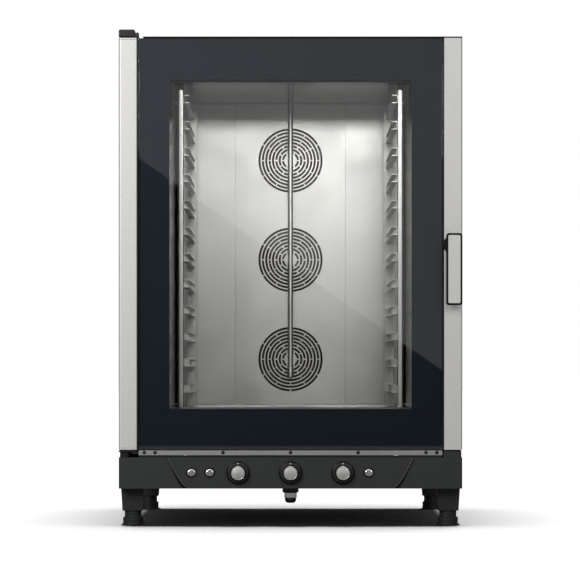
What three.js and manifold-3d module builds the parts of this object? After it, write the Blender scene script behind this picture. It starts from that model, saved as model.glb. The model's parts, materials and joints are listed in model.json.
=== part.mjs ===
// Combi steamer oven: a floor-standing or table-top cabinet on four legs, a left-hung double-glazed door
// with a turning handle, a cavity with twelve pairs of tray rails, three fans behind a baffle, and a
// control fascia with three knobs and three push buttons under the door.
// Millimetres, +Z up, -Y is the front. x = 0 is the middle plane and z = 0 is the floor.

import * as THREE from 'three';
import { mergeVertices } from 'three/addons/utils/BufferGeometryUtils.js';
import Module from 'manifold-3d';

const wasm = await Module();
wasm.setup();

// Driving dimensions -------------------------------------------------------------------------------

const ovenWidth = 860; // cabinet, door and fascia
const cabinetDepth = 742; // front frame to rear panel
const doorHeight = 1030;
const doorThickness = 76;
const legHeight = 96; // floor to base tray
const fasciaHeight = 78;

// Sheets and gaps
const touch = 0.3; // left between pieces that rest on each other
const sheet = 1.5; // stainless sheet of the cabinet and the cavity
const frameSheet = 2; // front frame and base tray
const panelLip = 14; // turned in at the edges of the side panels
const doorClearance = 2; // above and below the door
const sealSpace = 4; // door back to front frame, filled by the gasket

// Cavity
const sideWallSpace = 117; // cavity side to cabinet side
const cavityAboveDoorFoot = 105;
const cavityBelowDoorHead = 102;
const cavityDepth = 570; // front frame to back wall
const insulationThickness = 36;

// Fans, behind the baffle
const fanCount = 3;
const lowestFanHeight = 124; // above the cavity floor
const highestFanDrop = 156; // below the cavity ceiling
const baffleSpace = 88.5; // baffle to back wall
const baffleSeam = 150; // middle plane to the seam between baffle panels
const grilleRadius = 86;

// Tray racks
const railPitch = 67;
const railReach = 16; // how far a rail stands in from its posts
const railWidth = 18;
const railThickness = 2;
const railHeadroom = 30; // least space above the highest rail
const postWidth = 16;
const postThickness = 3;
const rearPostWidth = 27.5;
const rearPostInset = 8; // rear post further from the cavity side than the front post
const rackClearance = 26; // cavity side to rack
const rackFront = 20; // front frame to front post
const rackBackSpace = 71.5; // rear post to baffle
const lowestRail = 38; // above the cavity floor
const rackTopSpace = 17;

// Door
const profileWidth = 46;
const profileWall = 3;
const profileCorner = 6;
const seamWidth = 4; // black seam between profile and outer glass
const glassThickness = 6;
const glassRecess = 1.5;
const railHeight = 56;
const hingeInset = 14; // hinge axis to the left edge of the door
const pinRadius = 6;
const pinClearance = 0.4;
const pinReach = 24; // of a hinge pin inside the door
const capThickness = 4;

// Handle, on the right profile
const handleInset = 25; // turning axis to the right edge of the door
const handleHeight = 512; // turning axis above the door foot
const handleReach = 42; // front of the grip to the door front
const gripWidth = 39.5;
const gripLength = 179;
const gripThickness = 14;
const hubRadius = 24;
const spindleRadius = 5;
const insertThickness = 1.7;
const insertBorder = 3.8;

// Fascia and controls
const fasciaWall = 3;
const fasciaStep = 7; // how far the middle part stands proud of the corners
const creaseTop = 306; // middle plane to the crease, along the top edge
const creaseFoot = 252; // and along the bottom edge
const controlHeight = 40; // control axes above the fascia foot
const knobPitch = 131;
const skirtRadius = 29;
const knobCapRadius = 17.5;
const knobReach = 24;
const knobShaftRadius = 3;
const buttonPlaces = [-248, -202, 196];
const buttonWidth = 23;
const buttonHeight = 19.5;
const buttonTravel = 2.5;
const boardSetback = 40; // fascia front to control board

// Strip under the door, legs and fittings
const trayRise = 17.5; // fascia top to the rim of the drip tray
const trayHeight = 12;
const legInset = 31.5; // leg axis to the cabinet side
const frontLegSetback = 80;
const rearLegSetback = 33; // leg axis to the rear panel
const legTopWidth = 58;
const legFootWidth = 51;
const footHeight = 38;
const footRadius = 25.5;
const footFlangeRadius = 30;
const neckRadius = 21.5;
const stemRadius = 8;
const ventRise = 27; // above the top panel
const ventRadius = 25;
const fittingReach = 18; // of the rear fittings behind the rear panel

// Derived levels and planes ------------------------------------------------------------------------

const halfWidth = ovenWidth / 2;
const fasciaTop = legHeight + fasciaHeight;
const trayTop = fasciaTop + trayRise;
const doorFoot = trayTop + doorClearance;
const doorHead = doorFoot + doorHeight;
const cabinetTop = doorHead + doorClearance - touch;
const framePlane = doorThickness + sealSpace;
const rearPlane = framePlane + cabinetDepth;
const linerFront = framePlane + frameSheet + touch;

const trayFloor = legHeight + frameSheet + touch; // what stands on the base tray

const cavityHalf = halfWidth - sideWallSpace;
const cavityFloor = doorFoot + cavityAboveDoorFoot;
const cavityCeiling = doorHead - cavityBelowDoorHead;
const cavityBack = framePlane + cavityDepth;
const bafflePlane = cavityBack - baffleSpace;

const fanPitch = (cavityCeiling - highestFanDrop - cavityFloor - lowestFanHeight) / (fanCount - 1);
const fanHeights = Array.from({ length: fanCount }, (_, i) => cavityFloor + lowestFanHeight + i * fanPitch);
const fanNames = ['lower', 'middle', 'upper'];
const heaterTube = 4;
const heaterRadius = Math.min(fanPitch / 2, lowestFanHeight) - 12;
const heaterLeads = { spread: [-15, 15], rise: -heaterRadius }; // at the foot of each ring
const fanRadius = heaterRadius - 24;
const shaftRadius = 7;
const motorFront = cavityBack + sheet + insulationThickness + 2 * touch;

const steamPipe = { y: bafflePlane - 20, radius: 6.7, foot: cavityFloor + 75, rise: 30 };
const vent = { x: 200, y: (bafflePlane + cavityBack) / 2 + sheet };
const drain = { x: 0, y: framePlane + 220, z: legHeight + 84, radius: 19 };

const hingeX = -halfWidth + hingeInset;
const hingeY = doorThickness / 2;
const handleX = halfWidth - handleInset;
const controlZ = legHeight + controlHeight;
const switchDepth = 15;
const knobPlaces = [-knobPitch, 0, knobPitch];
const knobNames = ['temperature', 'timer', 'humidity'];
const buttonNames = ['start', 'light', 'pump'];

// Solids -------------------------------------------------------------------------------------------

function toSolid(geometry) {
  const bare = geometry.clone();
  bare.deleteAttribute('normal');
  bare.deleteAttribute('uv');
  const merged = mergeVertices(bare, 1e-3);
  return new wasm.Manifold(new wasm.Mesh({
    numProp: 3,
    vertProperties: new Float32Array(merged.attributes.position.array),
    triVerts: new Uint32Array(merged.index.array),
  }));
}

function toGeometry(solid) {
  const { vertProperties, triVerts } = solid.getMesh();
  const geometry = new THREE.BufferGeometry();
  geometry.setAttribute('position', new THREE.BufferAttribute(vertProperties, 3));
  geometry.setIndex(new THREE.BufferAttribute(triVerts, 1));
  return geometry;
}

function join(...geometries) {
  return toGeometry(geometries.map(toSolid).reduce((whole, solid) => whole.add(solid)));
}

function cut(body, ...tools) {
  return toGeometry(tools.map(toSolid).reduce((left, tool) => left.subtract(tool), toSolid(body)));
}

// A box between two values on each axis.
function block([x0, x1], [y0, y1], [z0, z1]) {
  return new THREE.BoxGeometry(x1 - x0, y1 - y0, z1 - z0)
    .translate((x0 + x1) / 2, (y0 + y1) / 2, (z0 + z1) / 2);
}

// A box that is hollow through its whole length on one axis, such as a channel or a frame.
function hollow(outer, inner) {
  return cut(block(...outer), block(...inner));
}

// Round bars on a given centre, along Y or along Z.
function rodY(radius, [x, z], [y0, y1], segments = 24) {
  return new THREE.CylinderGeometry(radius, radius, y1 - y0, segments).translate(x, (y0 + y1) / 2, z);
}

function rodZ(radius, [x, y], [z0, z1], segments = 24) {
  return new THREE.CylinderGeometry(radius, radius, z1 - z0, segments)
    .rotateX(Math.PI / 2).translate(x, y, (z0 + z1) / 2);
}

// A profile of [radius, height] pairs turned about Z, or about Y with height running along +Y.
function turnZ(profile, segments = 32) {
  const points = profile.map(([radius, height]) => new THREE.Vector2(radius, height));
  return new THREE.LatheGeometry(points, segments).rotateX(Math.PI / 2);
}

function turnY(profile, segments = 32) {
  return new THREE.LatheGeometry(profile.map(([r, h]) => new THREE.Vector2(r, h)), segments);
}

// Extrusions of a shape drawn in X and Y, along Z, and of one drawn in X and Z, along Y.
function extrudeZ(shape, [z0, z1], curveSegments = 3) {
  const options = { depth: z1 - z0, bevelEnabled: false, curveSegments };
  return new THREE.ExtrudeGeometry(shape, options).translate(0, 0, z0);
}

function extrudeY(shape, [y0, y1], curveSegments = 3) {
  const options = { depth: y1 - y0, bevelEnabled: false, curveSegments };
  return new THREE.ExtrudeGeometry(shape, options).rotateX(Math.PI / 2).translate(0, y1, 0);
}

function outline(points) {
  return new THREE.Shape(points.map(([x, y]) => new THREE.Vector2(x, y)));
}

function roundedRect(shape, [x0, x1], [y0, y1], radius) {
  shape.moveTo(x0 + radius, y0);
  shape.lineTo(x1 - radius, y0);
  shape.absarc(x1 - radius, y0 + radius, radius, -Math.PI / 2, 0);
  shape.lineTo(x1, y1 - radius);
  shape.absarc(x1 - radius, y1 - radius, radius, 0, Math.PI / 2);
  shape.lineTo(x0 + radius, y1);
  shape.absarc(x0 + radius, y1 - radius, radius, Math.PI / 2, Math.PI);
  shape.lineTo(x0, y0 + radius);
  shape.absarc(x0 + radius, y0 + radius, radius, Math.PI, Math.PI * 1.5);
  return shape;
}

// Finishes and scene -------------------------------------------------------------------------------

const finishes = {
  stainless: [0xb8babb, 0.35, 1],
  satin: [0xd2d2d0, 0.45, 0.8],
  chrome: [0xd8d9da, 0.12, 1],
  steel: [0x8d9093, 0.45, 1],
  blackPlastic: [0x1c1e20, 0.55, 0],
  fascia: [0x303234, 0.6, 0],
  greyPlastic: [0xb6b6b4, 0.5, 0],
  printedGlass: [0x1b2026, 0.05, 0],
  clearGlass: [0xaeb6b8, 0.05, 0],
  rubber: [0x141414, 0.8, 0],
  wool: [0xb9ab84, 0.95, 0],
  boardGreen: [0x2c5b3c, 0.6, 0],
};

function add(parent, name, geometry, finish, [x, y, z] = [0, 0, 0]) {
  const [color, roughness, metalness] = finishes[finish];
  const mesh = new THREE.Mesh(geometry, new THREE.MeshStandardMaterial({ color, roughness, metalness }));
  mesh.name = name;
  mesh.position.set(x, y, z);
  parent.add(mesh);
  return mesh;
}

function groupAt(parent, x, y, z) {
  const group = new THREE.Group();
  group.position.set(x, y, z);
  parent.add(group);
  return group;
}

const oven = new THREE.Group();
oven.position.y = -(rearPlane + fittingReach - handleReach) / 2;

// Cabinet ------------------------------------------------------------------------------------------

const fittings = {
  gland: { x: -300, z: legHeight + 60, radius: 12 },
  water: { x: 300, z: legHeight + 60, radius: 13 },
};

// A floor with a flange standing up along each side, just inside the lips of the side panels.
function baseTray() {
  const outer = halfWidth - panelLip - touch;
  const inner = outer - frameSheet;
  const floor = legHeight + frameSheet;
  const rim = legHeight + 30;
  const section = outline([
    [-halfWidth, legHeight], [halfWidth, legHeight], [halfWidth, floor], [outer, floor], [outer, rim],
    [inner, rim], [inner, floor], [-inner, floor], [-inner, rim], [-outer, rim], [-outer, floor],
    [-halfWidth, floor],
  ]);
  return extrudeY(section, [fasciaStep + fasciaWall + touch, rearPlane - sheet - touch]);
}

// A C-shaped section: the outer skin with a flange turned in at the front and at the back.
function sidePanel(side) {
  const front = linerFront;
  const back = rearPlane - sheet - touch;
  const skin = side * (halfWidth - sheet);
  const outer = side * halfWidth;
  const lip = side * (halfWidth - panelLip);
  const section = outline([
    [outer, front], [outer, back], [lip, back], [lip, back - sheet],
    [skin, back - sheet], [skin, front + sheet], [lip, front + sheet], [lip, front],
  ]);
  return extrudeZ(section, [trayFloor, cabinetTop - sheet - touch]);
}

function topPanel() {
  const panel = block([-halfWidth, halfWidth], [framePlane, rearPlane], [cabinetTop - sheet, cabinetTop]);
  return cut(panel, rodZ(ventRadius + 1, [vent.x, vent.y], [cabinetTop - 10, cabinetTop + 10]));
}

function rearPanel() {
  const thick = [rearPlane - sheet, rearPlane];
  const through = [rearPlane - 10, rearPlane + 10];
  const panel = block([-halfWidth, halfWidth], thick, [legHeight, cabinetTop - sheet - touch]);
  const slots = [];
  const slotLength = 150;
  const slotPitch = 24;
  for (const side of [-1, 1]) {
    for (let i = 0; i < 7; i += 1) {
      const middle = side * (halfWidth - 180);
      const z = cabinetTop - 140 - i * slotPitch;
      slots.push(block([middle - slotLength / 2, middle + slotLength / 2], through, [z, z + 8]));
    }
  }
  const holes = [...Object.values(fittings), drain].map(({ x, z, radius }) => rodY(radius + touch, [x, z], through));
  return cut(panel, ...slots, ...holes);
}

function frontFrame() {
  const face = [framePlane, framePlane + frameSheet];
  const panel = block([-halfWidth, halfWidth], face, [trayTop - trayHeight, cabinetTop - sheet - touch]);
  const opening = block(
    [-cavityHalf, cavityHalf], [framePlane - 10, framePlane + 10], [cavityFloor, cavityCeiling]);
  return cut(panel, opening);
}

function cabinet(parent) {
  add(parent, 'base_tray', baseTray(), 'steel');
  add(parent, 'side_panel_left', sidePanel(-1), 'stainless');
  add(parent, 'side_panel_right', sidePanel(1), 'stainless');
  add(parent, 'top_panel', topPanel(), 'stainless');
  add(parent, 'rear_panel', rearPanel(), 'stainless');
  add(parent, 'front_frame', frontFrame(), 'stainless');
}

// Cavity -------------------------------------------------------------------------------------------

// The same holes pass through the back wall, floor and ceiling of the liner and of the insulation.
function serviceHoles(extra) {
  const back = [cavityBack - 5, motorFront + 20];
  const up = [cavityCeiling - 5, cabinetTop + 20];
  return [
    ...fanHeights.map((z) => rodY(shaftRadius + 8 + extra, [0, z], back, 12)),
    ...fanHeights.flatMap((z) => heaterLeads.spread.map(
      (x) => rodY(heaterTube + 1, [x, z + heaterLeads.rise], back, 8))),
    rodZ(steamPipe.radius + 1 + extra, [0, steamPipe.y], up, 16),
    rodZ(ventRadius + 1 + extra, [vent.x, vent.y], up, 24),
    rodZ(drain.radius - 3 + extra * 3, [drain.x, drain.y], [cavityFloor - 80, cavityFloor + 5], 16),
  ];
}

// Five walls, open to the front, around the cavity and `away` outside it.
function openBox(away, wall, front) {
  const inner = cavityHalf + away;
  const outer = inner + wall;
  return cut(
    block([-outer, outer], [front, cavityBack + away + wall],
      [cavityFloor - away - wall, cavityCeiling + away + wall]),
    block([-inner, inner], [front - 10, cavityBack + away],
      [cavityFloor - away, cavityCeiling + away]),
  );
}

function cavityLiner() {
  return cut(openBox(0, sheet, linerFront), ...serviceHoles(0));
}

function insulationJacket() {
  return cut(openBox(sheet + touch, insulationThickness, linerFront + touch), ...serviceHoles(2));
}

function cavityGasket() {
  const lip = 6;
  const width = 18;
  const ring = (away, radius) => roundedRect(
    away === lip ? new THREE.Path() : new THREE.Shape(),
    [-cavityHalf - away, cavityHalf + away], [cavityFloor - away, cavityCeiling + away], radius);
  const shape = ring(lip + width, 24);
  shape.holes.push(ring(lip, 10));
  return extrudeY(shape, [doorThickness + touch, framePlane - touch]);
}

// Rings of arc slots around each fan.
function grilleSlots(z) {
  const ringPitch = 26;
  const slotWidth = 12;
  const slotsPerRing = 6;
  const bridge = 9; // of metal between two slots of a ring
  const slots = [];
  for (let outer = grilleRadius; outer > ringPitch; outer -= ringPitch) {
    const inner = outer - slotWidth;
    const bridgeAngle = bridge / (outer - slotWidth / 2);
    for (let i = 0; i < slotsPerRing; i += 1) {
      const from = (i / slotsPerRing) * 2 * Math.PI + bridgeAngle / 2;
      const to = ((i + 1) / slotsPerRing) * 2 * Math.PI - bridgeAngle / 2;
      const shape = new THREE.Shape();
      shape.absarc(0, z, outer, from, to, false);
      shape.absarc(0, z, inner, to, from, true);
      shape.closePath();
      slots.push(extrudeY(shape, [bafflePlane - 5, bafflePlane + 5], 1));
    }
  }
  return slots;
}

const baffleHeights = [cavityFloor + 4, cavityCeiling - 4];

function baffleCenter() {
  const half = baffleSeam - touch / 2;
  const panel = block([-half, half], [bafflePlane, bafflePlane + sheet], baffleHeights);
  const footNotch = block([-90, 90], [bafflePlane - 5, bafflePlane + 5], [cavityFloor, cavityFloor + 9]);
  return cut(panel, footNotch, ...fanHeights.flatMap(grilleSlots));
}

function baffleSide(side) {
  const outer = cavityHalf - 21;
  const across = (from, to) => [side * from, side * to].sort((a, b) => a - b);
  const face = block(
    across(baffleSeam + touch / 2, outer), [bafflePlane, bafflePlane + sheet], baffleHeights);
  const wall = block(across(outer - sheet, outer), [bafflePlane, cavityBack - touch], baffleHeights);
  const vents = [];
  for (let z = cavityFloor + 40; z + 50 < cavityCeiling - 20; z += 75) {
    vents.push(block(across(outer - 10, outer + 10), [bafflePlane + 20, bafflePlane + 60], [z, z + 50]));
  }
  return cut(join(face, wall), ...vents);
}

// A rack: two flat posts that stand on the cavity floor, with a flat rail between them on each level.
function rack(side) {
  const across = (from, to) => [side * from, side * to].sort((a, b) => a - b);
  const outer = cavityHalf - rackClearance;
  const inner = outer - postWidth - railReach;
  const front = framePlane + rackFront;
  const back = bafflePlane - rackBackSpace;
  const heights = [cavityFloor + touch, cavityCeiling - rackTopSpace];
  const rearOuter = outer - rearPostInset;
  const pieces = [
    block(across(outer - postWidth, outer), [front, front + postThickness], heights),
    block(across(rearOuter - rearPostWidth, rearOuter), [back - postThickness, back], heights),
  ];
  for (let z = cavityFloor + lowestRail; z + railHeadroom < heights[1]; z += railPitch) {
    pieces.push(block(across(inner, inner + railWidth), [front + 1, back - 1], [z - railThickness, z]));
  }
  return join(...pieces);
}

// An upright open tube with a thicker nozzle at its foot.
function steamTube() {
  const { radius, foot, rise } = steamPipe;
  const head = cavityCeiling + rise;
  const bore = radius - 2;
  return turnZ([
    [bore, head], [radius, head], [radius, foot + 30], [radius + 1.5, foot + 28],
    [radius + 1.5, foot], [bore, foot], [bore, head],
  ].reverse(), 20);
}

function heaterRing() {
  const ring = new THREE.TorusGeometry(heaterRadius, heaterTube, 6, 28).rotateX(Math.PI / 2);
  const leads = heaterLeads.spread.map(
    (x) => rodY(heaterTube - 0.5, [x, heaterLeads.rise], [0, 90], 8));
  return join(ring, ...leads);
}

function cavity(parent) {
  add(parent, 'cavity_liner', cavityLiner(), 'stainless');
  add(parent, 'insulation_jacket', insulationJacket(), 'wool');
  add(parent, 'cavity_gasket', cavityGasket(), 'rubber');
  add(parent, 'baffle_center', baffleCenter(), 'stainless');
  add(parent, 'baffle_left', baffleSide(-1), 'stainless');
  add(parent, 'baffle_right', baffleSide(1), 'stainless');
  add(parent, 'rack_left', rack(-1), 'stainless');
  add(parent, 'rack_right', rack(1), 'stainless');
  add(parent, 'steam_pipe', steamTube(), 'chrome', [0, steamPipe.y, 0]);
  fanHeights.forEach((z, i) => {
    add(parent, `heater_${fanNames[i]}`, heaterRing(), 'steel', [0, cavityBack - 40, z]);
  });
}

// Fans and motors ----------------------------------------------------------------------------------

const wheelWidth = 44;
const wheelBack = -16; // back disc, measured from the cavity's back wall
const shaftEnd = motorFront - cavityBack + 68;

// A backward-curved wheel on a shaft; its origin is on the back wall of the cavity.
function fanWheel() {
  const bladeCount = 12;
  const blades = Array.from({ length: bladeCount }, (_, i) => block(
    [-1, 1], [wheelBack - wheelWidth, wheelBack - 1], [-18, 18])
    .rotateY(0.5).translate(0, 0, fanRadius - 20).rotateY((i / bladeCount) * 2 * Math.PI));
  const disc = rodY(fanRadius, [0, 0], [wheelBack - 2, wheelBack], 24);
  const rim = cut(
    rodY(fanRadius, [0, 0], [wheelBack - wheelWidth - 1, wheelBack - wheelWidth + 1], 24),
    rodY(fanRadius - 26, [0, 0], [wheelBack - wheelWidth - 10, wheelBack - wheelWidth + 10], 24));
  const hub = rodY(18, [0, 0], [wheelBack - 26, wheelBack], 12);
  const shaft = rodY(shaftRadius, [0, 0], [wheelBack - 10, shaftEnd], 12);
  return join(disc, ...blades, rim, hub, shaft);
}

function fanMotor() {
  const length = 100;
  const front = motorFront - cavityBack;
  const body = rodY(54, [0, 0], [front, front + length], 32);
  const flange = block([-64, 64], [front, front + 5], [-64, 64]);
  const bore = rodY(shaftRadius + 0.5, [0, 0], [front - 5, shaftEnd + 4], 16);
  return cut(join(body, flange), bore);
}

function fans(parent) {
  fanHeights.forEach((z, i) => {
    const drive = groupAt(parent, 0, cavityBack, z);
    add(drive, `fan_${fanNames[i]}`, fanWheel(), 'stainless');
    add(drive, `fan_motor_${fanNames[i]}`, fanMotor(), 'steel');
  });
}

// Door ---------------------------------------------------------------------------------------------

// Section of an upright profile, in X from its outer edge and in Y about the middle of the door.
function profileSection(inset = 0) {
  const shape = new THREE.Shape();
  const half = doorThickness / 2 - inset;
  const width = profileWidth - inset;
  shape.moveTo(inset, half);
  shape.lineTo(inset, -half + profileCorner);
  shape.absarc(inset + profileCorner, -half + profileCorner, profileCorner, Math.PI, Math.PI * 1.5);
  shape.lineTo(width - 2, -half);
  shape.lineTo(width, -half + 2);
  shape.lineTo(width, half);
  shape.closePath();
  return shape;
}

// The profile with its outer edge on the left, hollow along its length.
function doorProfile(heights) {
  const half = doorThickness / 2 - profileWall;
  const core = block([profileWall, profileWidth - profileWall], [-half, half],
    [heights[0] - 5, heights[1] + 5]);
  return cut(extrudeZ(profileSection(), heights), core);
}

function leftProfile() {
  const end = capThickness + touch;
  return doorProfile([end, doorHeight - end]).translate(-hingeInset, 0, 0);
}

const keeperRise = 32; // latch keeper above the handle axis
const pocket = { width: 28, foot: 12, head: 48 }; // around the keeper, in the back of the profile

function rightProfile() {
  const outerEdge = ovenWidth - hingeInset;
  const profile = doorProfile([0, doorHeight]);
  const mirrored = toGeometry(toSolid(profile).mirror([1, 0, 0])).translate(outerEdge, 0, 0);
  const axis = outerEdge - handleInset;
  const back = [doorThickness / 2 - 10, doorThickness / 2 + 10];
  return cut(
    mirrored,
    rodY(spindleRadius + 0.6, [axis, handleHeight], [-doorThickness, 0]),
    block([axis - pocket.width / 2, axis + pocket.width / 2], back,
      [handleHeight + pocket.foot, handleHeight + pocket.head]),
  );
}

// A cap on one end of the left profile, with the bush of the hinge pin on its inner side.
function hingeBush() {
  const cap = extrudeZ(profileSection(), [0, capThickness]).translate(-hingeInset, 0, 0);
  const tube = rodZ(pinRadius + 4, [0, 0], [1, capThickness + pinReach + 4]);
  const bore = rodZ(pinRadius + pinClearance, [0, 0], [-5, capThickness + pinReach + 10]);
  return cut(join(cap, tube), bore);
}

// A channel across the door between the two profiles.
function doorRail(foot) {
  const ends = [profileWidth - hingeInset + touch, ovenWidth - hingeInset - profileWidth - touch];
  const front = -doorThickness / 2 + glassRecess + glassThickness + touch;
  const back = doorThickness / 2;
  const inside = ([from, to]) => [from + 2, to - 2];
  const heights = [foot, foot + railHeight];
  return hollow([ends, [front, back], heights],
    [[ends[0] - 5, ends[1] + 5], inside([front, back]), inside(heights)]);
}

function glassPane(edge, front, heights) {
  return block(
    [profileWidth - hingeInset + edge, ovenWidth - hingeInset - profileWidth - edge],
    [front, front + glassThickness], heights);
}

function door(parent) {
  const half = doorThickness / 2;
  const edge = 0.5; // glass and rails stop this far inside the door's ends
  add(parent, 'door_profile_left', leftProfile(), 'satin');
  add(parent, 'door_profile_right', rightProfile(), 'satin');
  add(parent, 'hinge_bush_bottom', hingeBush(), 'satin');
  const topBush = add(parent, 'hinge_bush_top', hingeBush(), 'satin', [0, 0, doorHeight]);
  topBush.geometry = toGeometry(toSolid(topBush.geometry).mirror([0, 0, 1]));
  add(parent, 'door_rail_bottom', doorRail(edge), 'steel');
  add(parent, 'door_rail_top', doorRail(doorHeight - edge - railHeight), 'steel');
  add(parent, 'door_glass_outer',
    glassPane(seamWidth, -half + glassRecess, [edge, doorHeight - edge]), 'printedGlass');
  add(parent, 'door_glass_inner',
    glassPane(touch, half - glassThickness,
      [edge + railHeight + touch, doorHeight - edge - railHeight - touch]), 'clearGlass');
}

// Hinge brackets and latch keeper, on the cabinet --------------------------------------------------

function hingeBracketTop() {
  const width = 41;
  const shape = new THREE.Shape();
  roundedRect(shape, [-halfWidth, -halfWidth + width], [3, framePlane + 50], 7);
  const cap = extrudeZ(shape, [cabinetTop + touch, cabinetTop + 20]);
  const pin = rodZ(pinRadius, [hingeX, hingeY], [doorHead - pinReach, cabinetTop + 5]);
  return join(cap, pin);
}

function hingeBracketBottom() {
  const width = 47;
  const plate = block([-halfWidth, -halfWidth + width], [3, framePlane - touch], [trayTop - 4, trayTop]);
  const boss = rodZ(13, [hingeX + 1, hingeY - 16], [fasciaTop + touch, trayTop - 3]);
  const arm = block([-halfWidth + 3, -halfWidth + 28], [hingeY - 16, framePlane - touch],
    [fasciaTop + touch, trayTop - 3]);
  const pin = rodZ(pinRadius, [hingeX, hingeY], [trayTop - 5, doorFoot + pinReach]);
  return join(plate, boss, arm, pin);
}

function doorKeeper() {
  const z = doorFoot + handleHeight + keeperRise;
  const back = framePlane - touch;
  const plate = block([handleX - 12, handleX + 12], [back - 2, back], [z - 30, z + 30]);
  const post = rodY(4, [handleX, z], [back - 12, back - 1], 16);
  const head = rodY(6.5, [handleX, z], [back - 14, back - 11], 16);
  return join(plate, post, head);
}

// Handle: its origin is on the turning axis, in the front face of the door ---------------------------

const gripX = [2.2 - gripWidth / 2, 2.2 + gripWidth / 2];
const gripZ = [27.5 - gripLength, 27.5];
const camThickness = 6;
const camBack = doorThickness - profileWall - 8;

function handleBody() {
  const front = -handleReach;
  const grip = extrudeY(
    roundedRect(new THREE.Shape(), gripX, gripZ, 6), [front, front + gripThickness]);
  const hub = cut(rodY(hubRadius, [0, 0], [front + 4, -0.5], 32),
    block([gripX[1] - 2, hubRadius + 5], [front, 5], [-hubRadius - 5, hubRadius + 5]));
  const spindle = rodY(spindleRadius, [0, 0], [-5, camBack + 4], 16);
  const pocketDepth = [front - 5, front + insertThickness + touch];
  const seat = extrudeY(roundedRect(new THREE.Shape(),
    gripX.map((x, i) => x + (i ? -1 : 1) * insertBorder),
    gripZ.map((z, i) => z + (i ? -1 : 1) * insertBorder), 4), pocketDepth);
  return cut(join(grip, hub, spindle), seat);
}

function handleInsert() {
  const border = insertBorder + touch;
  const shape = roundedRect(new THREE.Shape(),
    gripX.map((x, i) => x + (i ? -1 : 1) * border),
    gripZ.map((z, i) => z + (i ? -1 : 1) * border), 3.7);
  return extrudeY(shape, [-handleReach, -handleReach + insertThickness]);
}

function latchCam() {
  const cam = extrudeY(
    roundedRect(new THREE.Shape(), [-7, 7], [-13, 13], 5), [camBack - camThickness, camBack]);
  return cut(cam, rodY(spindleRadius + touch, [0, 0], [0, doorThickness], 16));
}

function handle(parent) {
  add(parent, 'handle_body', handleBody(), 'blackPlastic');
  add(parent, 'handle_insert', handleInsert(), 'greyPlastic');
  add(parent, 'latch_cam', latchCam(), 'steel');
}

// Controls -----------------------------------------------------------------------------------------

// The raised middle part of the fascia; its ends sweep in towards the bottom edge.
function creaseShape() {
  const foot = legHeight + 1;
  const head = fasciaTop - 1;
  const sweep = creaseTop - 34;
  const shape = new THREE.Shape();
  shape.moveTo(-creaseTop, head);
  shape.quadraticCurveTo(-sweep, foot, -creaseFoot, foot);
  shape.lineTo(creaseFoot, foot);
  shape.quadraticCurveTo(sweep, foot, creaseTop, head);
  shape.closePath();
  return shape;
}

function ovalY(halfX, halfZ, [x, z], along, segments = 24) {
  return rodY(1, [0, 0], along, segments).scale(halfX, 1, halfZ).translate(x, 0, z);
}

const recess = { margin: 2.6, depth: 5 };

// A tray-shaped moulding, open at the back and below, with the raised part on its front.
function controlFascia() {
  const back = framePlane - touch;
  const wallBack = fasciaStep + fasciaWall;
  const inside = halfWidth - fasciaWall;
  const shell = cut(
    block([-halfWidth, halfWidth], [fasciaStep, back], [legHeight, fasciaTop]),
    block([-inside, inside], [wallBack, back + 10], [legHeight - 10, fasciaTop - fasciaWall]),
    block([-halfWidth - 10, halfWidth + 10], [wallBack, back + 10], [legHeight - 10, trayFloor]),
  );
  const raised = extrudeY(creaseShape(), [0, fasciaStep + 1]);
  const cornerBlock = block([halfWidth - 47, halfWidth - 2], [fasciaStep + 2, back - 1],
    [fasciaTop - 1, trayTop]);
  const through = [-5, wallBack + 5];
  const shaftHoles = knobPlaces.map((x) => rodY(knobShaftRadius + 1.5, [x, controlZ], through, 12));
  const stemHoles = buttonPlaces.map((x) => rodY(4, [x, controlZ], through, 12));
  const recesses = buttonPlaces.map((x) => ovalY(
    buttonWidth / 2 + recess.margin, buttonHeight / 2 + recess.margin, [x, controlZ], [-5, recess.depth]));
  return cut(join(shell, raised, cornerBlock), ...shaftHoles, ...stemHoles, ...recesses);
}

// The board behind the fascia, with a switch body behind each knob and button.
function controlBoard() {
  const front = boardSetback;
  const heights = [legHeight + 10, fasciaTop - 8];
  const ends = [-knobPitch - 150, knobPitch + 100];
  const board = block(ends, [front, front + 2], heights);
  const switches = knobPlaces.map((x) => block(
    [x - 14, x + 14], [front - switchDepth, front + 1], [controlZ - 14, controlZ + 14]));
  const pushSwitches = buttonPlaces.map((x) => block(
    [x - 6, x + 6], [front - switchDepth - 5, front + 1], [controlZ - 6, controlZ + 6]));
  const standoffs = [ends[0] + 8, ends[1] - 8].flatMap((x) => heights.map((z, i) => rodY(
    3, [x, z + (i ? -6 : 6)], [fasciaStep + fasciaWall + touch, front + 1], 12)));
  return join(board, ...switches, ...pushSwitches, ...standoffs);
}

// A knob: its origin is on its axis, in the front face of the fascia.
function knob() {
  const skirtFront = -9;
  const skirtBack = -1.5;
  const shaftEndY = boardSetback - switchDepth - 0.5;
  const turned = turnY([
    [0, -knobReach], [knobCapRadius - 2, -knobReach], [knobCapRadius, -knobReach + 2],
    [knobCapRadius, skirtFront], [skirtRadius - 2, skirtFront], [skirtRadius, skirtFront + 2],
    [skirtRadius, skirtBack], [knobShaftRadius, skirtBack], [knobShaftRadius, shaftEndY], [0, shaftEndY],
  ], 20);
  const dot = rodY(2, [0, (skirtRadius + knobCapRadius) / 2], [skirtFront - 0.5, skirtFront + 1], 12);
  return join(turned, dot);
}

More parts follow.
